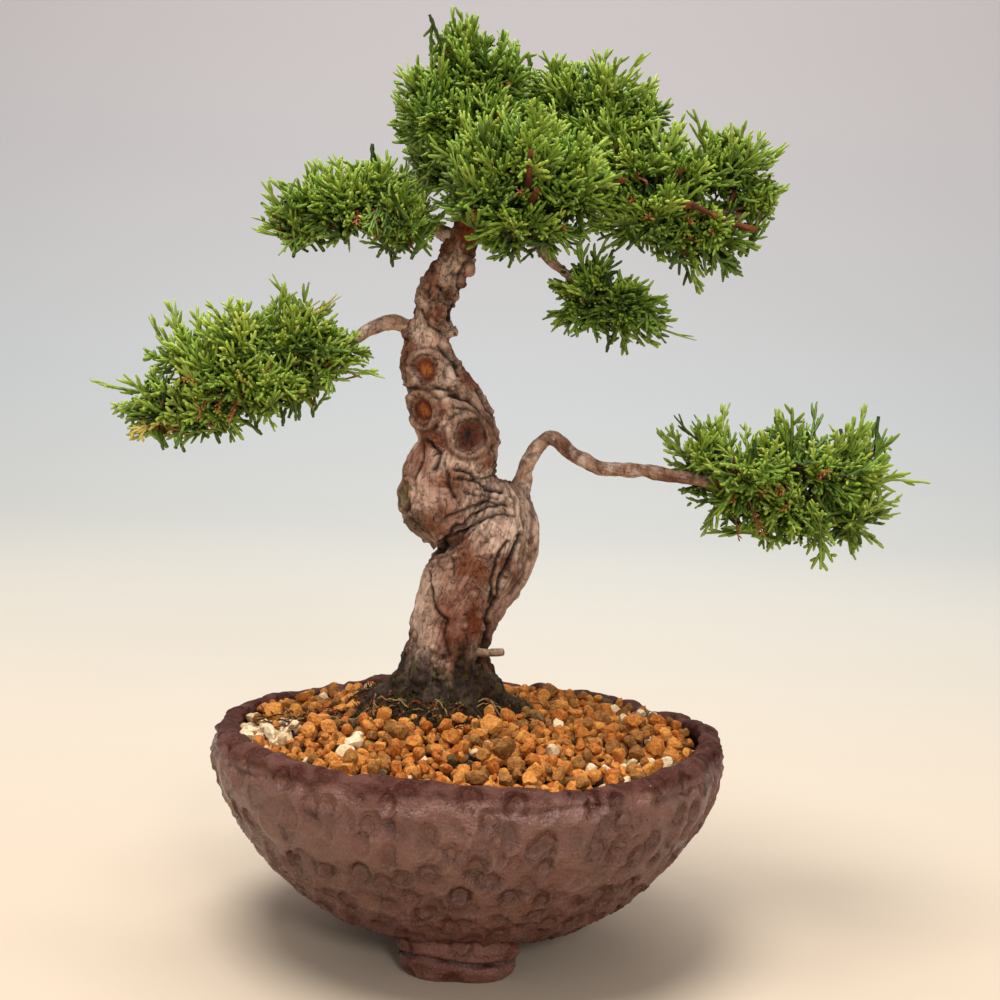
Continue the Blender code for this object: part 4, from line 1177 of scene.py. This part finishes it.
def make_spray(rng, length, thick, kind):
    """A feathered fan: one leading shoot, side shoots left and right of it, and short ones on those."""
    parts = []

    def keep(p, q, t, a, base, reach):
        parts.append((p, q, t, base + (reach - base) * a))

    p, q, t, a = shoot(length, thick, 1.7)
    keep(p, q, t, a, 0.0, 1.0)
    gap = 3.0 if kind == "cord" else 1.7
    at = length * 0.10
    hand = 1 if rng.random() < 0.5 else -1
    while at < length - 2.0:
        share = at / length
        reach = min(10.5, 2.4 + (length - at) * 0.55) * rng.uniform(0.78, 1.12)
        yaw = hand * rng.uniform(0.55, 0.85)
        lift = rng.normal(0.05, 0.20)
        if kind == "needle":
            reach = min(reach, 5.0) * 0.75
            yaw = hand * rng.uniform(0.6, 0.95)
            lift = rng.normal(0.1, 0.45)
        p, q, t, a = shoot(reach, thick * 0.94)
        p = bent(p, rng.normal(0.004, 0.008), -hand * 0.018)
        foot = np.array([at, 0, 0])
        keep(turned(p, yaw, lift, foot), q, t, a, 0.1 + 0.35 * share, 1.0)
        if kind == "cord" and reach > 4.2:
            where, side = 1.7, hand if rng.random() < 0.5 else -hand
            while where < reach - 1.7:
                stub = ((reach - where) * 0.5 + 1.1) * rng.uniform(0.8, 1.15)
                p2, q2, t2, a2 = shoot(stub, thick * 0.88, 1.6)
                p2 = turned(p2, side * rng.uniform(0.5, 0.75), rng.normal(0.06, 0.2), np.array([where, 0, 0]))
                keep(turned(p2, yaw, lift, foot), q2, t2, a2, 0.3, 1.0)
                side = -side
                where += rng.uniform(2.7, 3.6)
        hand = -hand
        at += gap * rng.uniform(0.8, 1.2)
    points, quads, tips, alongs, start = [], [], [], [], 0
    for p, q, t, a in parts:
        points.append(p); quads.append(q + start); tips.append(t + start); alongs.append(a)
        start += len(p)
    return np.vstack(points), np.vstack(quads), np.vstack(tips), np.concatenate(alongs)


spray_rng = np.random.default_rng(5)
SPRAYS = {
    "cord": [make_spray(spray_rng, l, t, "cord") for l, t in ((21, 0.68), (23, 0.70), (18, 0.68), (25, 0.68), (16, 0.72), (20, 0.66), (13, 0.70))],
    "needle": [make_spray(spray_rng, l, t, "needle") for l, t in ((17, 0.55), (13, 0.55))],
}

BLOBS = {
    "foliage_left": [(-86, 0, 186, 20, 17, 14), (-61, 0, 201, 14, 15, 12), (-81, -6, 199, 16, 17, 12), (-100, 5, 190, 15, 16, 12), (-109, 0, 171, 17, 14, 11), (-74, -4, 183, 17, 19, 11), (-91, 2, 173, 16, 16, 12), (-50, -5, 197, 11, 10, 8), (-56, 4, 188, 11, 12, 9)],
    "foliage_right": [(73, 0, 167, 15, 16, 12), (85, -8, 163, 16, 18, 15), (103, 2, 166, 17, 18, 15), (119, -4, 164, 17, 17, 14), (107, 0, 148, 20, 20, 14), (128, 2, 149, 14, 15, 13), (84, 2, 153, 15, 15, 11), (132, 4, 171, 7, 9, 7)],
    "foliage_crown_top": [(-20, -2, 272, 17, 16, 13), (-12, 0, 293, 11, 13, 14), (-23, 2, 281, 12, 14, 13), (2, -2, 286, 14, 15, 13), (-6, -4, 271, 21, 20, 12)],
    "foliage_crown_top_right": [(21, 6, 284, 12, 13, 12), (35, 2, 282, 15, 15, 13), (49, 4, 279, 11, 12, 11), (37, 0, 269, 17, 16, 10)],
    "foliage_crown_front": [(9, -25, 255, 25, 18, 19), (-2, -26, 245, 15, 15, 15), (26, -22, 249, 16, 16, 16), (10, -22, 236, 19, 17, 11)],
    "foliage_crown_left": [(-54, 0, 244, 17, 15, 13), (-68, -2, 236, 10, 10, 11), (-36, 2, 249, 15, 15, 12), (-29, -4, 238, 14, 14, 9)],
    "foliage_crown_right": [(40, -6, 260, 17, 17, 15), (58, -4, 256, 19, 19, 17), (79, 0, 262, 15, 14, 12), (48, -8, 242, 16, 17, 14), (70, -6, 237, 15, 15, 13), (88, -4, 251, 9, 8, 6)],
    "foliage_crown_back": [(7, 30, 283, 22, 14, 16), (36, 32, 261, 24, 16, 20), (-20, 28, 262, 18, 14, 16), (11, 34, 252, 21, 15, 16), (4, 17, 268, 18, 10, 13)],
    "foliage_crown_hanging": [(33, -8, 212, 12, 13, 11), (45, -10, 211, 13, 13, 12), (30, -2, 221, 9, 9, 8)],
}
CARRIER = {
    "foliage_left": "branch_left", "foliage_right": "branch_right", "foliage_crown_top": None, "foliage_crown_top_right": "crown_branch_top_right",
    "foliage_crown_front": "crown_branch_front", "foliage_crown_left": "crown_branch_left", "foliage_crown_right": "crown_branch_right",
    "foliage_crown_back": "crown_branch_back", "foliage_crown_hanging": "crown_branch_hanging",
}
COUNTS = {"foliage_left": 290, "foliage_right": 255, "foliage_crown_top": 270, "foliage_crown_top_right": 190, "foliage_crown_front": 275,
          "foliage_crown_left": 200, "foliage_crown_right": 300, "foliage_crown_back": 240, "foliage_crown_hanging": 100}
NEEDLES = {"foliage_left": 0.16, "foliage_right": 0.1, "foliage_crown_left": 0.1}
SUNNY = {"foliage_left": 0.07, "foliage_right": 0.06, "foliage_crown_hanging": -0.04, "foliage_crown_top": -0.03}
HANG = {"foliage_crown_hanging": -0.45, "foliage_right": -0.02, "foliage_left": 0.0, "foliage_crown_right": -0.08}


# shoots that run ahead of the rest: tip, direction, size
LEADERS = {
    "foliage_crown_top": [(-12.3, 0, 307.5, 0.05, 0, 1, 0.95), (-9, -6, 303, 0.25, -0.1, 1, 0.8), (-35, 0, 279, -1, -0.1, 0.35, 1), (-30, -4, 290, -0.7, 0, 0.8, 0.9)],
    "foliage_crown_top_right": [(34, 5, 299.4, 0, 0, 1, 1), (51.4, 4, 289.6, 0.5, 0, 0.8, 1), (19.5, 2, 295.8, -0.1, 0, 1, 0.9)],
    "foliage_crown_right": [(97.8, -4, 252.4, 1, -0.1, 0.22, 1.15), (94.3, -4, 265.8, 1, 0, 0.5, 1), (70.9, -4, 276, 0.1, 0, 1, 1), (68.3, -6, 218.7, 0.25, -0.1, -1, 1.1), (86, -8, 232, 0.9, -0.1, -0.5, 1)],
    "foliage_crown_left": [(-78.6, 0, 235.6, -1, 0, -0.15, 1), (-71.5, 0, 223.8, -0.8, 0, -0.6, 1), (-64.4, 0, 254.9, -0.5, 0, 0.8, 1), (-49.7, 0, 260.8, -0.1, 0, 1, 1)],
    "foliage_crown_hanging": [(61.7, -8, 208.9, 1, 0, -0.1, 1), (46.3, -8, 197.4, 0.3, 0, -1, 1), (19.6, -6, 209.3, -0.8, 0, -0.4, 0.9), (56, -8, 201, 0.8, 0, -0.6, 1)],
    "foliage_left": [(-125.3, 0, 170.6, -1, 0, -0.45, 1.15), (-116.2, 0, 159.3, -0.8, 0, -0.8, 1.1), (-70.3, -4, 215, 0.1, -0.1, 1, 1), (-61.3, -4, 212.5, 0.3, 0, 1, 0.95), (-106.4, 0, 203, -0.6, 0, 0.8, 1),
                     (-116.7, 2, 196, -1, 0, 0.3, 1), (-43.4, 2, 197.8, 1, -0.1, -0.1, 0.9), (-73.2, -4, 167.5, 0.1, 0, -1, 0.9)],
    "foliage_right": [(55.8, 0, 170.7, -1, 0, 0.35, 1), (103, -4, 184.7, 0.05, 0, 1, 1.05), (74.5, -6, 179.1, -0.3, 0, 1, 0.95), (138, 0, 150.7, 1, 0, -0.1, 1), (133.4, 0, 180.4, 0.7, 0, 0.8, 1),
                      (116.3, -4, 131, 0.2, 0, -1, 1.1), (95.7, -4, 135.4, 0, 0, -1, 1), (75.1, -4, 139.1, -0.3, 0, -1, 0.9), (137, 0, 139.5, 0.9, 0, -0.5, 1)],
}


# dead bits left inside: tip, direction
DEAD = {
    "foliage_right": [(85, -12, 139, 0.1, -0.2, -1), (92, -14, 141, 0.3, -0.3, -1), (82, -14, 150, -0.2, -0.6, -0.6), (112, -20, 163, 0.2, -1, 0.1), (98, -18, 156, 0.2, -1, -0.3), (101, -16, 149, 0, -0.8, -0.6)],
    "foliage_left": [(-86, -14, 172, 0, -0.5, -1), (-93, -13, 171, -0.3, -0.5, -1), (-80, -16, 170, 0.1, -0.5, -1), (-98, -16, 183, -0.6, -0.8, 0), (-70, -16, 186, 0.2, -1, -0.3)],
    "foliage_crown_right": [(62, -20, 240, 0, -1, -0.4), (50, -22, 238, 0, -1, -0.5), (71, -18, 237, 0.3, -1, -0.4), (45, -22, 247, 0, -1, 0)],
    "foliage_crown_left": [(-44, -13, 236, 0, -0.8, -0.6), (-34, -13, 232, 0.1, -0.6, -0.8)],
    "foliage_crown_hanging": [(26, -10, 216, -0.6, -0.6, 0), (31, -14, 214, 0, -1, 0)],
    "foliage_crown_front": [(9, -40, 246, 0, -1, 0), (-6, -36, 236, -0.2, -0.8, -0.6)],
}


def sprays_for(name, rng):
    """Foot, direction, roll, size, tone and kind of every spray of a pad."""
    blobs = np.array(BLOBS[name], float)
    area = blobs[:, 3] * blobs[:, 4] + blobs[:, 3] * blobs[:, 5]
    rows = []
    want = COUNTS[name]
    middle = (blobs[:, :3] * area[:, None]).sum(0) / area.sum()
    hang = HANG.get(name, 0.1)
    while len(rows) < want:
        b = blobs[rng.choice(len(blobs), p=area / area.sum())]
        d = unit(rng.normal(0, 1, 3))
        if d[2] < -0.3 and rng.random() < 0.45 and hang > -0.3:
            continue
        inner = rng.random() < 0.2
        shell = rng.uniform(0.55, 0.8) if inner else float(np.clip(rng.normal(0.97, 0.13), 0.75, 1.26))
        tip = b[:3] + d * b[3:6] * shell
        deep = min(float(np.linalg.norm((tip - c[:3]) / c[3:6])) for c in blobs)
        if deep < (0.45 if inner else 0.74):
            continue
        outward = unit(d / b[3:6] * b[3:6].mean())
        far = unit(tip - middle)
        way = unit(0.75 * outward + 0.45 * far + np.array([0, 0, 0.16 + hang]) + rng.normal(0, 0.22, 3))
        size = rng.uniform(0.82, 1.12) * (0.95 if inner else 1)
        # painted light: sprays that face up get lighter tones, and inner sprays darker ones as painted shade; SUNNY
        # lifts or lowers whole pads as painted light
        tone = 0.62 + 0.16 * d[2] + rng.normal(0, 0.10) - (0.2 if inner else 0)
        tone = float(np.clip(tone + SUNNY.get(name, 0.0), 0.36, 0.96))
        kind = "needle" if rng.random() < NEEDLES.get(name, 0.04) else "cord"
        if kind == "needle":
            tone = min(0.96, tone + 0.12)
        if name == "foliage_left" and rng.random() < 0.05 and shell < 0.95:
            tone = 0.22
        if rng.random() < 0.025 and d[2] < 0.1:
            tone, kind, size = 0.15, "needle", size * 0.6
        rows.append((tip, way, rng.uniform(-1, 1), size, tone, kind))
    for x, y, z, dx, dy, dz in DEAD.get(name, ()):
        rows.append((np.array([x, y, z], float), unit(np.array([dx, dy, dz], float)), rng.uniform(-1, 1), rng.uniform(0.5, 0.75), 0.15, "needle"))
    for x, y, z, dx, dy, dz, size in LEADERS.get(name, ()):
        rows.append((np.array([x, y, z], float), unit(np.array([dx, dy, dz], float)), rng.uniform(-0.3, 0.3), size, 0.72, "cord"))
    return rows


def nearest_on(line, spot):
    d = np.linalg.norm(line[:, :3] - spot, axis=1)
    return line[int(d.argmin())]


def thin_twig(start, end, r0, r1, rng, sides=3, steps=4, sag=0.12):
    t = np.linspace(0, 1, steps)[:, None]
    gap = np.linalg.norm(end - start)
    bow = np.array([rng.normal(0, 0.08), rng.normal(0, 0.08), -sag]) * gap
    mid = start * (1 - t) + end * t + bow * (t * (1 - t) * 2) + rng.normal(0, 0.05 * gap, (steps, 3)) * (t * (1 - t) * 2)
    path = np.hstack([mid, r0 * (1 - t) + r1 * t])
    return round_skin(path, sides)


def make_pad(name, seed):
    rng = np.random.default_rng(seed)
    rows = sprays_for(name, rng)
    blobs = np.array(BLOBS[name], float)
    carrier = CARRIER[name]
    line = smooth_path(BRANCH_LINES[carrier], 2) if carrier else smooth_path(UPPER_MASS[11:], 2)
    hubs = []
    twig_parts = []
    for b in blobs:
        root = nearest_on(line, b[:3])
        hub = b[:3] + np.array([0, 0, -0.15 * b[5]])
        hubs.append(hub)
        twig_parts.append(thin_twig(root[:3], hub, min(1.5, root[3]), 0.9, rng, 6, 7))
    hubs = np.array(hubs)
    # wood of the pad
    points, quads, tris, flow = gather(twig_parts)
    # sprays
    all_points, all_quads, all_tris, uv = [], [], [], []
    start = 0
    kinds = {"cord": [], "needle": []}
    for row in rows:
        kinds[row[5]].append(row)
    for kind, list_ in kinds.items():
        masters = SPRAYS[kind]
        picks = rng.integers(0, len(masters), len(list_))
        for m, (mp, mq, mt, ma) in enumerate(masters):
            sel = [r for r, w in zip(list_, picks) if w == m]
            if not sel:
                continue
            tips = np.array([r[0] for r in sel])
            x = unit(np.array([r[1] for r in sel]))
            size = np.array([r[3] for r in sel])
            tone = np.array([r[4] for r in sel])
            flat = np.array([0, 0, 1.0]) - x * x[:, 2:3]
            flat = np.where(np.linalg.norm(flat, axis=1, keepdims=True) < 0.25, np.array([0, -1.0, 0.2]), flat)
            z = unit(flat - x * (flat * x).sum(1, keepdims=True))
            y = np.cross(z, x)
            roll = np.array([r[2] for r in sel]) * 1.25
            y, z = y * np.cos(roll)[:, None] + z * np.sin(roll)[:, None], z * np.cos(roll)[:, None] - y * np.sin(roll)[:, None]
            frame_ = np.stack([x, y, z], 2) * size[:, None, None]
            k, n = len(sel), len(mp)
            length = mp[:, 0].max()
            curl = rng.normal(0.006, 0.012, k)
            sway = rng.normal(0, 0.010, k)
            local = np.repeat(mp[None], k, 0)
            local[:, :, 2] += curl[:, None] * mp[None, :, 0] ** 2
            local[:, :, 1] += sway[:, None] * mp[None, :, 0] ** 2
            local[:, :, 0] -= length
            world = np.einsum("kij,knj->kni", frame_, local) + tips[:, None]
            all_points.append(world.reshape(-1, 3))
            offs = (np.arange(k) * n)[:, None, None] + start
            all_quads.append((mq[None] + offs).reshape(-1, 4))
            all_tris.append((mt[None] + offs).reshape(-1, 3))
            uv.append(np.stack([np.tile(ma, k), np.repeat(tone, n)], 1))
            start += k * n
    # fine twigs to the sprays' feet
    fine = []
    for tip, way, roll, size, tone, kind in rows:
        foot = tip - way * 15.0 * size
        h = hubs[int(np.linalg.norm(hubs - foot, axis=1).argmin())]
        if np.linalg.norm(h - foot) < 2:
            continue
        fine.append(thin_twig(h, foot, 0.7, 0.45, rng, 3, 4, 0.05))
    fp, fq, ff, _ = gather(fine)
    all_points.append(fp)
    all_quads.append(fq + start)
    all_tris.append(ff + start)
    uv.append(np.tile([0.5, 0.08], (len(fp), 1)))
    start += len(fp)
    all_points.append(points)
    all_quads.append(quads + start)
    all_tris.append(tris + start)
    uv.append(np.tile([0.5, 0.08], (len(points), 1)))
    pts, qd, tr, uv = np.vstack(all_points), np.vstack(all_quads), np.vstack(all_tris), np.vstack(uv)
    me = mesh_from(name + "_sprays", pts, [qd, tr])
    corner = np.concatenate([qd.ravel(), tr.ravel()])
    layer = me.uv_layers.new(name="OFBake")
    layer.data.foreach_set("uv", uv[corner].astype(np.float32).ravel())
    finish_piece(add_object(name + "_sprays", me), LEAF, "leaf", name)
    return len(qd) * 2 + len(tr)


count = {name: make_pad(name, 100 + n) for n, name in enumerate(BLOBS)}
print("shoot triangles", count, sum(count.values()))


# ------------------------------------------------------------------ hidden pieces keep their CAD shape
def dress(node, finish):
    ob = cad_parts[node]
    ob.data.materials.clear()
    ob.data.materials.append(finish)


mesh_finish = plain_grit("plastic_mesh_green", rgb(60, 84, 66), rgb(38, 56, 44), 1.5)
wire = Finish("aluminium_wire", roughness=0.38, specular=0.5, Metallic=1.0)
wire.colour(wire.ramp(wire.grain(wire.place((0.6, 0.6, 4)), 3), (0.35, rgb(120, 84, 62)), (0.65, rgb(168, 124, 96))))
dress("drain_mesh", mesh_finish)
dress("mesh_clip", wire.material)
dress("drainage_grit", plain_grit("washed_grit", rgb(150, 140, 126), rgb(92, 84, 76), 3.0))
dress("root_soil", SOIL)


# ------------------------------------------------------------------ room
def make_room():
    bpy.ops.mesh.primitive_plane_add(size=2)
    floor = bpy.context.object
    floor.name = "backdrop"
    me = floor.data
    me.clear_geometry()
    # a wide pale table that turns up into a wall far behind
    ys = [-9.0] + list(np.linspace(1.3, 1.3, 1)) + [1.3 + 0.9 * math.sin(t) for t in np.linspace(0.1, math.pi / 2, 16)] + [2.2]
    zs = [0.0, 0.0] + [0.9 - 0.9 * math.cos(t) for t in np.linspace(0.1, math.pi / 2, 16)] + [7.0]
    n = len(ys)
    verts = [(x, y, z) for x in (-9, 9) for y, z in zip(ys, zs)]
    faces = [(i, n + i, n + i + 1, i + 1) for i in range(n - 1)]
    me.from_pydata(verts, [], faces)
    for poly in me.polygons:
        poly.use_smooth = True
    f = Finish("paper_backdrop", roughness=0.85, specular=0.1)
    spot = f.node("SeparateXYZ", Vector=f.node("TexCoord").outputs["Object"])
    away = f.sum("DIVIDE", f.sum("ADD", spot.outputs[1], spot.outputs[2]), 3.2)
    f.colour(f.ramp(away, (0.0, rgb(204, 188, 168)), (0.17, rgb(201, 195, 183)), (0.40, rgb(206, 207, 202)), (0.62, rgb(197, 202, 204)), (0.85, rgb(197, 195, 198)), (1.0, rgb(201, 195, 198))))
    me.materials.append(f.material)
    floor.select_set(False)


def soft_lamp(name, spot, aim, size, power, colour):
    data = bpy.data.lights.new(name, "AREA")
    data.shape = "DISK"
    data.size = size
    data.energy = power
    data.color = colour
    lamp = bpy.data.objects.new(name, data)
    bpy.context.scene.collection.objects.link(lamp)
    lamp.location = spot
    lamp.rotation_euler = (Vector(aim) - Vector(spot)).to_track_quat("-Z", "Y").to_euler()


make_room()
soft_lamp("top_lamp", (-0.25, -0.35, 1.5), (0, 0, 0.12), 0.75, 21, (1, 0.97, 0.93))
soft_lamp("front_lamp", (0.5, -1.7, 0.9), (0, 0, 0.15), 0.4, 9.5, (1, 0.97, 0.94))
soft_lamp("wall_lamp", (0, 0.4, 2.6), (0, 2.2, 1.2), 1.4, 32, (1, 0.98, 0.96))
soft_lamp("back_lamp", (0.3, 1.0, 1.3), (0, 0, 0.15), 0.8, 4.5, (0.96, 0.98, 1))
world = bpy.data.worlds.new("studio")
bpy.context.scene.world = world
world.use_nodes = True
world.node_tree.nodes["Background"].inputs[0].default_value = (1.0, 0.98, 0.96, 1)
world.node_tree.nodes["Background"].inputs[1].default_value = 0.47
bpy.context.scene.view_settings.view_transform = "Standard"
